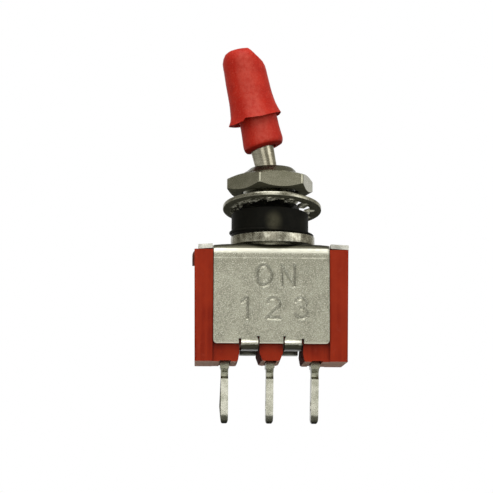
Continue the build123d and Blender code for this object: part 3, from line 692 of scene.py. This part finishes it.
FRAME_EDGE = 0.05
LOW_CORNER = 0.38                # radius of the legs' lower corners
LEG_FACE = 4.15                  # the outside of each leg, from the middle
LEG_HALF_WIDTH = 5.93
BEND_RADIUS = 1.3                # outside, as drawn
BEND_LOW_RADIUS = 1.62           # the die really left it flatter below and tighter above
BEND_HIGH_RADIUS = 1.05
BEND_CHANGE = radians(30)
CROWN = 0.15                     # how far the top springs up between the legs' sides
CROWN_DEPTHS = (2.95, 3.4)
CROWN_HEIGHTS = (-1.2, -0.3)
WING_DROOP = 0.11                # how far the ends hang down
TAB_SIDES = (1.49, 3.21)         # inner and outer side of each tab
TAB_FREE = -9.7                  # where its slits end
TAB_BULGE = 0.17
TAB_SHIFT = 0.14                 # both tabs were cropped nearer to the middle
TAB_SAG = 0.08                   # the back ones are folded less tightly
TAB_ENDS = (-10.35, -10.7)       # heights of the folded part
TAB_SWELL = (-9.76, -10.2)       # heights between which it bulges out
PLATE_GREY = "#a09f8f"
PLATE_DARK = "#818072"
PLATE_SHADE = "#838272"
# darker inside the stamped strokes
MARK_DARKENING = "#55544a"
MARK_WIDTH = 0.36
MARK_DEPTH = 0.09
MARK_LIP = 0.03                  # metal pushed up on each side of a stroke
MARK_HEIGHT = 2.06
MARK_WINDOW = ((-4.6, 4.6), (-8.1, -1.8))    # the stamped area on the front leg, across and up
MARK_CUTS = 150
UPPER_MARKS = ("ON", -4.26, (-1.55, 1.0))
LOWER_MARKS = ("123", -7.6, (-3.3, -0.45, 2.4))


def steps(start, end, count):
    """Evenly spaced values from the start to the end."""
    return [start + (end - start) * i / count for i in range(count + 1)]


def arc_points(middle, radii, start, end, count=14):
    """Points along part of an ellipse, with angles in degrees from the right."""
    angles = [radians(angle) for angle in steps(start, end, count)]
    return [(middle[0] + radii[0] * cos(a), middle[1] + radii[1] * sin(a)) for a in angles]


# Single-stroke marks in a cell one high: lists of (across, up) points.
STROKES = {
    "O": [arc_points((0.36, 0.5), (0.36, 0.5), 0, 360, 28)],
    "N": [[(0, 0), (0, 1), (0.62, 0), (0.62, 1)]],
    "1": [[(0.1, 0.78), (0.38, 1), (0.38, 0)]],
    "2": [arc_points((0.3, 0.7), (0.3, 0.3), 165, -35) + [(0, 0), (0.62, 0)]],
    "3": [
        arc_points((0.28, 0.755), (0.27, 0.245), 160, -90) + arc_points((0.28, 0.26), (0.3, 0.26), 90, -160)
    ],
}


def stroke_segments():
    """Every stroke of the marks as pairs of (x, z) points on the front leg, in millimetres."""
    segments = []
    for marks, foot, lefts in (UPPER_MARKS, LOWER_MARKS):
        for mark, left in zip(marks, lefts):
            for stroke in STROKES[mark]:
                placed = [(left + MARK_HEIGHT * u, foot + MARK_HEIGHT * v) for u, v in stroke]
                segments += list(zip(placed, placed[1:]))
    return segments


def off_segment(x, z, segment):
    """How far a point of the leg is from a piece of a stroke."""
    (x0, z0), (x1, z1) = segment
    along_x, along_z = x1 - x0, z1 - z0
    share = ramp((x - x0) * along_x + (z - z0) * along_z, 0, along_x**2 + along_z**2)
    return hypot(x - x0 - share * along_x, z - z0 - share * along_z)


def pressed_shape(co):
    """Where a point of the frame lies once the die's flatter bend, crown and tabs are counted in."""
    x, depth, z = abs(co.x) / MM, abs(co.y) / MM, co.z / MM
    out, up = depth - (LEG_FACE - BEND_RADIUS), z + BEND_RADIUS
    if out > -0.001 and up > -0.001 and hypot(out, up) > 0.9 * BEND_RADIUS:
        turn = atan2(up, out)
        low = min(turn, BEND_CHANGE)
        depth = LEG_FACE - BEND_LOW_RADIUS * (1 - cos(low))
        z = BEND_LOW_RADIUS * sin(low) - BEND_RADIUS
        if turn > low:
            depth -= BEND_HIGH_RADIUS * (cos(low) - cos(turn))
            z += BEND_HIGH_RADIUS * (sin(turn) - sin(low))
        thin = hypot(out, up) - BEND_RADIUS
        depth, z = depth + thin * cos(turn), z + thin * sin(turn)
    if x < LEG_HALF_WIDTH:
        on_crown = rising(depth, *CROWN_DEPTHS) * rising(z, *CROWN_HEIGHTS)
        z += CROWN * (1 - (x / LEG_HALF_WIDTH) ** 6) * on_crown
    z -= WING_DROOP * rising(x, LEG_HALF_WIDTH, 6.8)
    across = co.x
    if TAB_SIDES[0] - 0.02 < x < TAB_SIDES[1] + 0.02 and z < TAB_FREE + 0.2:
        across *= (x - TAB_SHIFT * rising(z, TAB_FREE + 0.2, TAB_FREE - 0.1)) / x
        if depth > 3 and z < TAB_FREE:
            depth += TAB_BULGE * rising(z, *TAB_SWELL)
        if co.y > 0:
            z -= TAB_SAG * rising(z, *TAB_ENDS)
    return Vector((across, (depth if co.y > 0 else -depth) * MM, z * MM))


def at_low_corner(edge):
    """Whether an edge runs through a leg at one of its lower corners."""
    near, far = (vert.co / MM for vert in edge.verts)
    return (near - far).xz.length < 0.001 and abs(near.x) > 5.8 and near.z < -10


frame_bm = merged_copy("frame")
break_edges(frame_bm, LOW_CORNER, segments=5, where=at_low_corner)
break_edges(frame_bm, FRAME_EDGE)
for side in (-1, 1):
    leg = max(
        (f for f in frame_bm.faces if side * f.normal.y > 0.99 and side * middle_of(f).y > 4),
        key=lambda f: f.calc_area(),
    )
    sliced(frame_bm, [leg], 2, (TAB_FREE,))
tabs = [
    f for f in frame_bm.faces
    if middle_of(f).z < TAB_FREE and abs(middle_of(f).y) > 3
    and TAB_SIDES[0] - 0.05 < abs(middle_of(f).x) < TAB_SIDES[1] + 0.05
]
sliced(frame_bm, tabs, 2, steps(TAB_SWELL[0] + 0.1, TAB_SWELL[1] - 0.1, 10))
top = [f for f in frame_bm.faces if f.normal.z > 0.99 and middle_of(f).z > -0.01]
sliced(frame_bm, top, 1, (-2.95, 2.95))
bends = [
    f for f in frame_bm.faces
    if middle_of(f).z > -BEND_RADIUS and abs(middle_of(f).y) > 2.9 and abs(middle_of(f).x) < 5.8
]
sliced(frame_bm, bends, 0, steps(-5.7, 5.7, 19))
for vert in frame_bm.verts:
    vert.co = pressed_shape(vert.co)

front_y = -LEG_FACE * MM
front_face = max(
    (f for f in frame_bm.faces if f.normal.y < -0.99 and abs(middle_of(f).y + LEG_FACE) < 0.02),
    key=lambda f: f.calc_area(),
)
parts = [front_face]
for axis in (0, 2):
    parts = sliced(frame_bm, parts, axis, MARK_WINDOW[axis // 2])
leg_middle = Vector((0, -LEG_FACE, -5))
window = min(parts, key=lambda f: (middle_of(f) - leg_middle).length)
bmesh.ops.subdivide_edges(frame_bm, edges=window.edges[:], cuts=MARK_CUTS, use_grid_fill=True)
segments = stroke_segments()
for vert in frame_bm.verts:
    if abs(vert.co.y - front_y) > 0.001 * MM or not vert.link_faces:
        continue
    x, z = vert.co.x / MM, vert.co.z / MM
    if not all(low < at < high for at, (low, high) in zip((x, z), MARK_WINDOW)):
        continue
    off = min(off_segment(x, z, s) for s in segments)
    if off < MARK_WIDTH / 2:
        vert.co.y += MARK_DEPTH * (1 - (2 * off / MARK_WIDTH) ** 2) * MM
    elif off < MARK_WIDTH:
        vert.co.y -= MARK_LIP * sin(pi * (2 * off / MARK_WIDTH - 1)) * MM

# Hot-dipped tin on rolled steel: a dull speckled grey with an even spangle and fine scratches.
# Painted highlights lie along the bends, tabs and wings; painted shade darkens the folds, corners, bends'
# tops and left ear.
TIN_PALE = "#b3b2a1"
TIN_POCK = "#66655a"
TIN_FLECK = "#dad9cb"
# painted highlight along the bend
BEND_HIGHLIGHT = "#c3c2b4"
BEND_HIGHLIGHT_HEIGHTS = ((-1.0, -0.78), (-0.3, -0.42))    # where it fades in, from below and from above
# a painted highlight along the crease and the plate's lower edge above the tabs
LINE_HIGHLIGHT = "#cfcebd"
CREASE_HEIGHT = -1.42
SHADE_HEIGHTS = (-3.4, -1.6)     # the legs darken up to the bends
SHELF_DARK_REFLECTION = "#48463a"           # a painted dark reflection along the top of the bends
SHELF_HEIGHTS = (-0.46, -0.36)
SHELF_DEPTHS = (3.2, 3.4)
# painted shade in the tabs' folds
TAB_FOLD_SHADE = "#242316"
TAB_FOLD = -10.13
BULGE_HIGHLIGHT = "#f3f2e9"         # painted highlight on the tabs' bulges
# painted highlight on the wings' sheared edges
WING_EDGE_HIGHLIGHT = "#e8e7dd"
WING_START = 5.94
WING_EDGE = (-0.62, -0.5)        # heights of the painted highlight on the sheared edge
EAR_SHADE = "#5a2b1d"             # painted shade and a red reflection of the housing on the left ear
EAR_HEEL = (-7.72, -7.8)         # how far to the left the painted shade begins
tin_plate, add = new_material("dull_tin_plate")
place, facing = place_in_mm(add), facing_of(add)
across, depth, height = add("SeparateXYZ", place).outputs
outward = add("Math", depth, operation="ABSOLUTE")
spangle, fine, clouds = (
    add("TexNoise", place, Scale=1 / size, Detail=detail)
    for size, detail in ((0.17, 5), (0.09, 3), (1.6, 4))
)
drawn_out = add("Mapping", place, Scale=(1, 0.2, 0.2))
dashes = add("TexNoise", drawn_out, Scale=1 / 0.8, Detail=4)
(mark_x, mark_half_width), (mark_z, mark_half_height) = (
    ((low + high) / 2, (high - low) / 2) for low, high in MARK_WINDOW
)
in_marks = overlap(
    add, (depth, 0.01 - LEG_FACE, 0.07 - LEG_FACE),
    add("Math", across, mark_x, mark_half_width, operation="COMPARE"),
    add("Math", height, mark_z, mark_half_height, operation="COMPARE"),
    add("Math", depth, -4, operation="LESS_THAN"),
)
# Painted highlight along the bend.
bend_highlight = overlap(add, *((height, *edges) for edges in BEND_HIGHLIGHT_HEIGHTS))
off_crease = add("Math", add("Math", height, CREASE_HEIGHT, operation="SUBTRACT"), operation="ABSOLUTE")
# Painted highlight in dashes along the crease.
crease = overlap(add, (off_crease, 0.1, 0.03), (dashes, 0.45, 0.62, 0.25, 0.9))
# Painted dark reflection along the top of the bends.
shelf_reflection = overlap(add, (height, *SHELF_HEIGHTS), (outward, *SHELF_DEPTHS))
on_leg = add("Math", height, -5, 4, operation="COMPARE")
on_wing = add("Math", add("Math", across, operation="ABSOLUTE"), WING_START, operation="GREATER_THAN")
# Painted shade in the corners, off the leg and the wings.
cornered = overlap(
    add, crevice_shade(add, 0.6), *(add("Math", 1.0, away, operation="SUBTRACT") for away in (on_leg, on_wing))
)
# Painted highlight on the tops of the tabs' bulges.
bulge = overlap(add, (outward, LEG_FACE + 0.05, LEG_FACE + 0.12), (facing["Z"], -0.1, 0.3, 0, 0.65))
unbulged = add("Math", outward, LEG_FACE + 0.04, operation="LESS_THAN")
# Painted highlight along the plate's lower edge above the tabs.
lower_edge_highlight = overlap(add, (height, TAB_FOLD + 0.11, TAB_FOLD, 0, 0.6), unbulged)
# Painted shade in the tabs' folds.
fold_shade = overlap(add, (wavy_height(add, place), TAB_FOLD, TAB_FOLD - 0.15), (depth, 1, 0, 0.8, 0.95))
# Painted highlight on the wings' sheared edges.
sheared = overlap(
    add, on_wing, (height, *WING_EDGE, 0, 0.75), (clouds, 0.35, 0.55, 0.5, 1), (facing["Z"], 0.9, 0.6)
)
# Painted shade with a reddish reflection of the housing on the left ear, made dull and not metal.
ear_shade = add("MapRange", across, *EAR_HEEL)
colour = layered(add, PLATE_DARK, (
    ((spangle, 0.38, 0.62), PLATE_GREY),
    ((clouds, 0.4, 0.62, 0, 0.4), TIN_PALE),
    ((height, *SHADE_HEIGHTS, 0, 0.55), PLATE_SHADE),
    (overlap(add, in_marks, 0.42), MARK_DARKENING),
    ((fine, 0.43, 0.32, 0, 0.75), TIN_POCK),
    ((fine, 0.55, 0.66, 0, 0.85), TIN_FLECK),
    (overlap(add, bend_highlight, 0.9), BEND_HIGHLIGHT),
    (crease, LINE_HIGHLIGHT),
    (overlap(add, shelf_reflection, 0.95), SHELF_DARK_REFLECTION),
    (overlap(add, cornered, 0.8), METAL_CORNER_SHADE),
    (bulge, BULGE_HIGHLIGHT),
    (lower_edge_highlight, LINE_HIGHLIGHT),
    (fold_shade, TAB_FOLD_SHADE),
    (sheared, WING_EDGE_HIGHLIGHT),
    (ear_shade, EAR_SHADE),
))
rough = add("MapRange", spangle, 0.3, 0.7, 0.3, 0.46)
relief = add("Bump", Height=spangle, Distance=0.018 * MM)
relief = add("Bump", Height=fine, Distance=0.02 * MM, Normal=relief)
shader = add(
    "BsdfPrincipled", Base_Color=colour, Metallic=add("Math", 1.0, ear_shade, operation="SUBTRACT"),
    Roughness=add("Math", rough, ear_shade, operation="MAXIMUM"), Normal=relief,
)
add("OutputMaterial", shader)
fit_piece("bent_frame", frame_bm, tin_plate, "switch_body", "frame")


# ---- The cap ----------------------------------------------------------------
# A soft vinyl cap dipped and pushed over the lever: a domed skirt with a ragged flared lip,
# and a tight collar below it. A hollowed flat is pressed in its right shoulder.

CAP_PROFILE = (                  # (radius, height) from the top, round the lip, to the collar's foot
    (0.0, 15.02), (0.4, 15.03), (0.75, 15.02), (1.1, 14.97), (1.48, 14.87), (1.81, 14.66), (2.05, 14.33),
    (2.2, 13.9), (2.25, 13.4), (2.26, 12.9), (2.27, 12.3), (2.29, 11.6), (2.31, 10.9), (2.33, 10.3),
    (2.36, 9.7), (2.41, 9.1), (2.49, 8.55), (2.59, 8.05), (2.69, 7.65), (2.78, 7.36), (2.81, 7.28),
    (2.77, 7.27), (2.66, 7.38), (2.46, 7.62), (2.2, 7.95), (2.03, 8.0), (2.04, 7.3), (2.06, 6.6),
    (2.08, 6.0), (2.11, 5.4), (2.14, 4.95), (2.15, 4.6), (2.11, 4.31), (1.98, 4.1), (1.72, 4.02),
    (1.45, 4.02), (1.24, 4.02),
)
CAP_STEPS = 180
CAP_LIP = 7.28
CAP_FOOT = 4.02
CAP_HOLLOW_TOP = 13.42
ARM_TAPER = ((2, 1.1), (12.6, 1.68))    # (height, radius) of the lever's arm at both ends of its taper
ARM_GAP = 0.02                   # between the arm and the cap
SKIRT_TOP = 10.5                 # down from here the skirt slants with the lip
SKIRT_ROOF = 8.01                # inside it, where the collar begins
SKIRT_RADIUS = 2.25
LIP_RADIUS = 2.6
LIP_SLANT = tan(radians(3.8))    # right side up
LIP_LEAN = tan(radians(1.5))     # far side up
LIP_RAGS = (                     # (direction, rise) round the lip: a flap hangs down on the left
    (0, 0.12), (22, 0.04), (150, 0.06), (180, 0.0), (196, -0.08), (212, -0.2), (236, -0.22), (244, 0.02),
    (262, -0.14), (280, -0.26), (300, -0.22), (327, -0.14), (343, 0.02), (360, 0.12),
)
LIP_REACH = 1.3                  # how far up the skirt the rags are felt
LIP_HOOK = 0.17                  # how far the left tip turns out
HOOK_AT = 188                    # its direction, and how many degrees from it the hook fades
HOOK_SPREAD = (34, 8)
CAP_LEAN = 0.06                  # its soft flanks lean a little to the left
CAP_TOP_SLANT = 0.06
COLLAR_RADIUS = 2.2              # with some room
COLLAR_SHIFT = 0.25
COLLAR_END = 4.3                 # below this is its foot
COLLAR_SLANT = tan(radians(5.2))
SHOULDER = 12.5
LUMPS = (0.035, 0.014)           # how far it is lumpy, in large and in small
FLAT_RADIUS = 3.6
FLAT_RISE = radians(41)
FLAT_MIDDLE = Vector((1.39, 0, 13.95))
VINYL_RED = "#ba2613"
VINYL_DEEP = "#ad1c0a"
VINYL_PITS_AND_SHEEN = "#cd5645"         # paler pits, and painted sheen on the front
# painted shade on the undersides
VINYL_UNDERSIDE_SHADE = "#8c1a0d"
VINYL_GLOSS = 0.16

cap_bm = bmesh.new()
rim_points = [cap_bm.verts.new((r, 0, z)) for r, z in CAP_PROFILE]
rim_lines = [cap_bm.edges.new(pair) for pair in zip(rim_points, rim_points[1:])]
(taper_low, taper_thin), (taper_high, taper_thick) = ARM_TAPER
foot_radius = taper_thin + (taper_thick - taper_thin) * ramp(CAP_FOOT, taper_low, taper_high)
hollow = [
    (foot_radius * (1 + STEM_SWELL) + ARM_GAP, CAP_FOOT), (taper_thick + ARM_GAP, taper_high),
    (0.9, CAP_HOLLOW_TOP), (0, CAP_HOLLOW_TOP),
]
hollow_points = [cap_bm.verts.new((r, 0, z)) for r, z in hollow]
rim_lines += [cap_bm.edges.new(pair) for pair in zip([rim_points[-1]] + hollow_points, hollow_points)]
bmesh.ops.spin(
    cap_bm, geom=cap_bm.verts[:] + cap_bm.edges[:], cent=(0, 0, 0), axis=(0, 0, 1), angle=2 * pi,
    steps=CAP_STEPS, use_merge=True,
)
bmesh.ops.remove_doubles(cap_bm, verts=cap_bm.verts, dist=0.002)
bmesh.ops.recalc_face_normals(cap_bm, faces=cap_bm.faces)
flat_axis = FLAT_MIDDLE + FLAT_RADIUS * Vector((cos(FLAT_RISE), 0, sin(FLAT_RISE)))
skin = [
    v for v in cap_bm.verts
    if v.co.xy.length > 1.9 or v.co.z > CAP_HOLLOW_TOP + 0.1 or v.co.z < COLLAR_END
]
pressed = []
for vert in skin:
    co = vert.co
    reach = co.xy.length
    if reach < COLLAR_RADIUS and co.z < SKIRT_ROOF:
        co.z += COLLAR_SLANT * co.x * ramp(co.z, 6.5, 4.5)
        co.x += COLLAR_SHIFT * ramp(co.z, 7.9, 7.4)
    elif co.z < SKIRT_TOP:
        co.z += ramp(co.z, SKIRT_TOP, CAP_LIP) ** 2 * (co.x * LIP_SLANT + co.y * LIP_LEAN)
        direction = degrees(atan2(co.y, co.x)) % 360
        close = ramp(co.z, CAP_LIP + LIP_REACH, CAP_LIP) ** 2
        stretches = zip(LIP_RAGS, LIP_RAGS[1:])
        (start, low), (end, high) = next(pair for pair in stretches if direction <= pair[1][0])
        co.z += close * (low + (high - low) * rising(direction, start, end)) * (reach > SKIRT_RADIUS)
        hook = LIP_HOOK * rising(co.z, CAP_LIP + 0.45, CAP_LIP - 0.1) * (reach > LIP_RADIUS)
        co.x -= hook * rising(abs(direction - HOOK_AT), *HOOK_SPREAD)
    flat_off = Vector((co.x - flat_axis.x, 0, co.z - flat_axis.z))
    if co.z > SHOULDER and flat_off.length < FLAT_RADIUS:
        moved = flat_off.normalized() * FLAT_RADIUS
        co.x, co.z = flat_axis.x + moved.x, flat_axis.z + moved.z
        pressed.append(vert)
    co.x -= CAP_LEAN * sin(pi * ramp(co.z, 8, 13))
    co.z -= CAP_TOP_SLANT * co.x * rising(co.z, 14, 14.6)
    lump = noise.noise(co * 0.9 + Vector((3.1, 0, 0))) * LUMPS[0] + noise.noise(co * 2.7) * LUMPS[1]
    if co.z > COLLAR_END:
        co += Vector((co.x, co.y, 0)).normalized() * lump
near_flat = {v for p in pressed for e in p.link_edges for v in e.verts}
near_flat |= {v for p in near_flat for e in p.link_edges for v in e.verts}
for _ in range(5):
    bmesh.ops.smooth_vert(
        cap_bm, verts=list(near_flat), factor=0.5, use_axis_x=True, use_axis_y=True, use_axis_z=True
    )
bmesh.ops.transform(
    cap_bm, verts=cap_bm.verts,
    matrix=Matrix.Translation(LEVER_PIVOT) @ Matrix.Rotation(-LEVER_TILT, 4, "Y") @ Matrix.Scale(MM, 4),
)

# Soft vinyl, dipped: a warm matt red, a little darker in clouds, with a skin that is slightly
# rippled and pitted, painted sheen on its front and painted shade on its undersides.
soft_vinyl, add = new_material("soft_red_vinyl")
place, facing = place_in_mm(add), facing_of(add)
clouds, pocks, ripple, tufts = (
    add("TexNoise", place, Scale=1 / size, Detail=detail)
    for size, detail in ((1.3, 4), (0.16, 3), (0.8, 2), (0.45, 4))
)
# Painted sheen on the front-facing side, and painted shade on the undersides.
painted_sheen = overlap(add, (facing["Y"], -0.86, -0.985), (tufts, 0.3, 0.6, 0.25, 1))
under = add("MapRange", facing["Z"], -0.3, -0.6)
colour = layered(add, VINYL_DEEP, (
    ((clouds, 0.38, 0.62), VINYL_RED),
    (overlap(add, painted_sheen, 0.5), VINYL_PITS_AND_SHEEN),
    ((pocks, 0.5, 0.72, 0, 0.4), VINYL_PITS_AND_SHEEN),
    (under, VINYL_UNDERSIDE_SHADE),
))
rough = add("Math", (pocks, 0.3, 0.7, 0.44, 0.56), under, operation="MAXIMUM")
relief = add("Bump", Height=ripple, Distance=0.03 * MM)
relief = add("Bump", Height=pocks, Distance=0.01 * MM, Normal=relief)
shader = add(
    "BsdfPrincipled", Base_Color=colour, IOR=1.5, Specular_IOR_Level=VINYL_GLOSS, Roughness=rough,
    Normal=relief,
)
add("OutputMaterial", shader)
fit_piece("dipped_cap", cap_bm, soft_vinyl, "lever", "lever_cap", crease=60)


# ---- The loose ring ---------------------------------------------------------
# A thick steel ring cropped from bar and nickel-plated. It lies loose on the bushing's shoulder,
# pushed over to the right.

RING_EDGE = 0.08
RING_RADII = (3.35, 4.41)
RING_MIDDLE = 0.28
RING_STEPS = 128

ring_low, ring_high = (corner.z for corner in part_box("bushing_ring"))
bore, rim = (radius * MM for radius in RING_RADII)
ring_bm = bmesh.new()
outline = ((bore, ring_low), (rim, ring_low), (rim, ring_high), (bore, ring_high))
points = [ring_bm.verts.new((r, 0, z)) for r, z in outline]
lines = [ring_bm.edges.new(pair) for pair in zip(points, points[1:] + points[:1])]
bmesh.ops.spin(
    ring_bm, geom=points + lines, cent=(0, 0, 0), axis=(0, 0, 1), angle=2 * pi, steps=RING_STEPS,
    use_merge=True,
)
bmesh.ops.recalc_face_normals(ring_bm, faces=ring_bm.faces)
break_edges(ring_bm, RING_EDGE, angle=50, segments=3)
bmesh.ops.translate(ring_bm, vec=(RING_MIDDLE * MM, 0, 0), verts=ring_bm.verts)

# Nickel over sheared steel: stained in upright bands where it was cropped from bar.
stained_nickel = worn_metal(
    "stained_ring_nickel", "#c2c0b0", "#6a6556", 0.1, (0.18, 0.36), streak=(0.42, (1, 1, 0.3)), patch=0.55,
    bump=0.006,
)
fit_piece("plated_ring", ring_bm, stained_nickel, "switch_body", "bushing_ring")


# ---- The rubber sleeve ------------------------------------------------------
# A length of moulded black rubber tube, pushed over the thread down to the ring. It ends in a
# thin flange that tips to the right.

SLEEVE_EDGE = 0.07
SLEEVE_SWELL = 0.04              # how far its left side stands out
RUBBER_BLACK = "#060602"
RUBBER_BLOOM = "#100f08"
RUBBER_GLOSS = 0.09
HIGHLIGHT_AT = (0.2, -1.0, 1.98)    # where a highlight is painted, on the pattern's own scale
HIGHLIGHT_REACH = 1.15
# the painted highlight's grey
SLEEVE_HIGHLIGHT_GREY = "#4b4838"
PINCH_HEIGHT = 4.4               # of its inner edge, drawn up into the washer's hole
PINCH_SLANT = tan(radians(8.8))
PINCHED = (2.5, 3.2)             # the edge lies above this height and within this radius

# Black rubber: soft, nearly matt, with a fine grey bloom, mould specks and a painted highlight.
black_rubber, add = new_material("black_rubber")
place = place_in_mm(add)
bloom = add("TexNoise", place, Scale=1 / 0.9, Detail=5)
specks = add("TexNoise", place, Scale=1 / 0.1, Detail=3)
centred = add("Mapping", place, Location=[-c for c in HIGHLIGHT_AT], Scale=(1, 0.25, 0.8))
off_centre = add("VectorMath", centred, operation="LENGTH")
patch = add("MapRange", off_centre, HIGHLIGHT_REACH, 0, interpolation_type="SMOOTHSTEP")
painted_sheen = overlap(add, patch, (bloom, 0.25, 0.5, 0.45, 1))
colour = layered(add, RUBBER_BLACK, (((bloom, 0.4, 0.7), RUBBER_BLOOM), (painted_sheen, SLEEVE_HIGHLIGHT_GREY)))
shader = add(
    "BsdfPrincipled", Base_Color=colour, IOR=1.52, Specular_IOR_Level=RUBBER_GLOSS,
    Roughness=(specks, 0.3, 0.7, 0.5, 0.66), Normal=add("Bump", Height=specks, Distance=0.006 * MM),
)
add("OutputMaterial", shader)
sleeve_bm = merged_copy("rubber_sleeve")
for vert in sleeve_bm.verts:
    if vert.co.z > PINCHED[0] * MM and hypot(vert.co.x, vert.co.y) < PINCHED[1] * MM:
        vert.co.z = (PINCH_HEIGHT - PINCH_SLANT * vert.co.y / MM) * MM
    vert.co.x -= SLEEVE_SWELL * MM * rising(-vert.co.x / MM, 0, 3.5)
break_edges(sleeve_bm, SLEEVE_EDGE, angle=24)
fit_piece("rubber_tube", sleeve_bm, black_rubber, "switch_body", "rubber_sleeve")


# ---- The lock washer --------------------------------------------------------
# A spring steel washer with twelve twisted teeth round its hole, nickel-plated. It hangs a
# little askew between the sleeve and the nut.

WASHER_EDGE = 0.11
TOOTH_DROP = 0.22                # the right-hand teeth are twisted lower
TOOTH_RADII = (4.1, 3.7)         # where the twist begins, and where it is full
# painted glints on the teeth
TOOTH_GLINT = "#e2e1d0"
# painted shade on the washer's underside
WASHER_UNDERSIDE_SHADE = "#454433"


def tooth_glints(add, place):
    """Painted glints on the teeth, in bright flecks."""
    level = add("VectorMath", place, (1, 1, 0), operation="MULTIPLY")
    from_axis = add("VectorMath", level, operation="LENGTH")
    flecks = add("TexNoise", place, Scale=1 / 0.42, Detail=3)
    return [(overlap(add, (flecks, 0.47, 0.55), (from_axis, 4.3, 4.05)), TOOTH_GLINT)]


# Nickel on stamped spring steel: bright rims, painted glints on grey teeth, and painted shade underneath
# and in the corners.
stamped_nickel = worn_metal(
    "stamped_washer_nickel", "#b0ae9f", "#7d7b6a", 0.12, (0.2, 0.36), patch=0.6, extra_layers=tooth_glints,
    under=WASHER_UNDERSIDE_SHADE, corner_shade=0.3,
)
washer_bm = merged_copy("lock_washer")
for vert in washer_bm.verts:
    tooth = rising(hypot(vert.co.x, vert.co.y) / MM, *TOOTH_RADII)
    vert.co.z -= TOOTH_DROP * tooth * rising(vert.co.x / MM, 1.5, 3) * MM
break_edges(washer_bm, WASHER_EDGE, angle=40)
fit_piece("toothed_washer", washer_bm, stamped_nickel, "switch_body", "lock_washer")


# ---- The nut ----------------------------------------------------------------
# A thin M6 nut of nickel-plated brass, milled from hexagon bar and chamfered on both sides. It
# is screwed down on the washer, a little crooked.

NUT_EDGE = 0.05
NUT_FLATS = 8.1
NUT_SAG = 0.16                   # how much lower its rounded corners reach than the drawn ones
NUT_CROWN = 0.22                 # how far its top slopes down to the flats
CROWN_RADII = (3.3, 4.0)
NUT_CORNER = 0.3                 # its six upright corners are rubbed rounder
NUT_TURN = radians(2.1)
NUT_SWELL = 0.02                 # how far its corners reach past the drawn ones, before rounding
NUT_LEAN = tan(radians(0.9))     # right side up
# painted shade on the nut's lower chamfers
NUT_UNDERSIDE_SHADE = "#4d4c3a"

# Nickel on milled brass: satin faces with faint milling marks across them, and painted shade
# on the lower chamfers and in the corners.
milled_nickel = worn_metal(
    "milled_nut_nickel", "#b4b2a1", "#9a9986", 0.09, (0.2, 0.32), streak=(0.09, (0.1, 0.1, 1)), bump=0.002,
    under=NUT_UNDERSIDE_SHADE, corner_shade=0.5,
)
nut_bm = merged_copy("hex_nut")
nut_middle = sum(corner.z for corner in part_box("hex_nut")) / 2
flat_radius, corner_radius = 0.98 * NUT_FLATS / 2, NUT_FLATS / 3**0.5
for vert in nut_bm.verts:
    reach = hypot(vert.co.x, vert.co.y) / MM
    share = ramp(reach, flat_radius, corner_radius)
    if vert.co.z > nut_middle:
        vert.co.z -= NUT_CROWN * rising(reach, *CROWN_RADII) * (1 - 1.4 * share) * MM
    else:
        vert.co.z -= NUT_SAG * share * MM
    vert.co.z += NUT_LEAN * vert.co.x
    vert.co.xy *= 1 + NUT_SWELL * share
bmesh.ops.rotate(nut_bm, verts=nut_bm.verts, cent=(0, 0, 0), matrix=Matrix.Rotation(NUT_TURN, 3, "Z"))
break_edges(
    nut_bm, NUT_CORNER, segments=3,
    where=lambda e: abs((e.verts[0].co - e.verts[1].co).normalized().z) > 0.9,
)
break_edges(nut_bm, NUT_EDGE, angle=28)
fit_piece("milled_nut", nut_bm, milled_nickel, "switch_body", "hex_nut")


# ---- The view ---------------------------------------------------------------
# The plain view that every colour above was chosen for.

bpy.context.scene.view_settings.view_transform = "Standard"
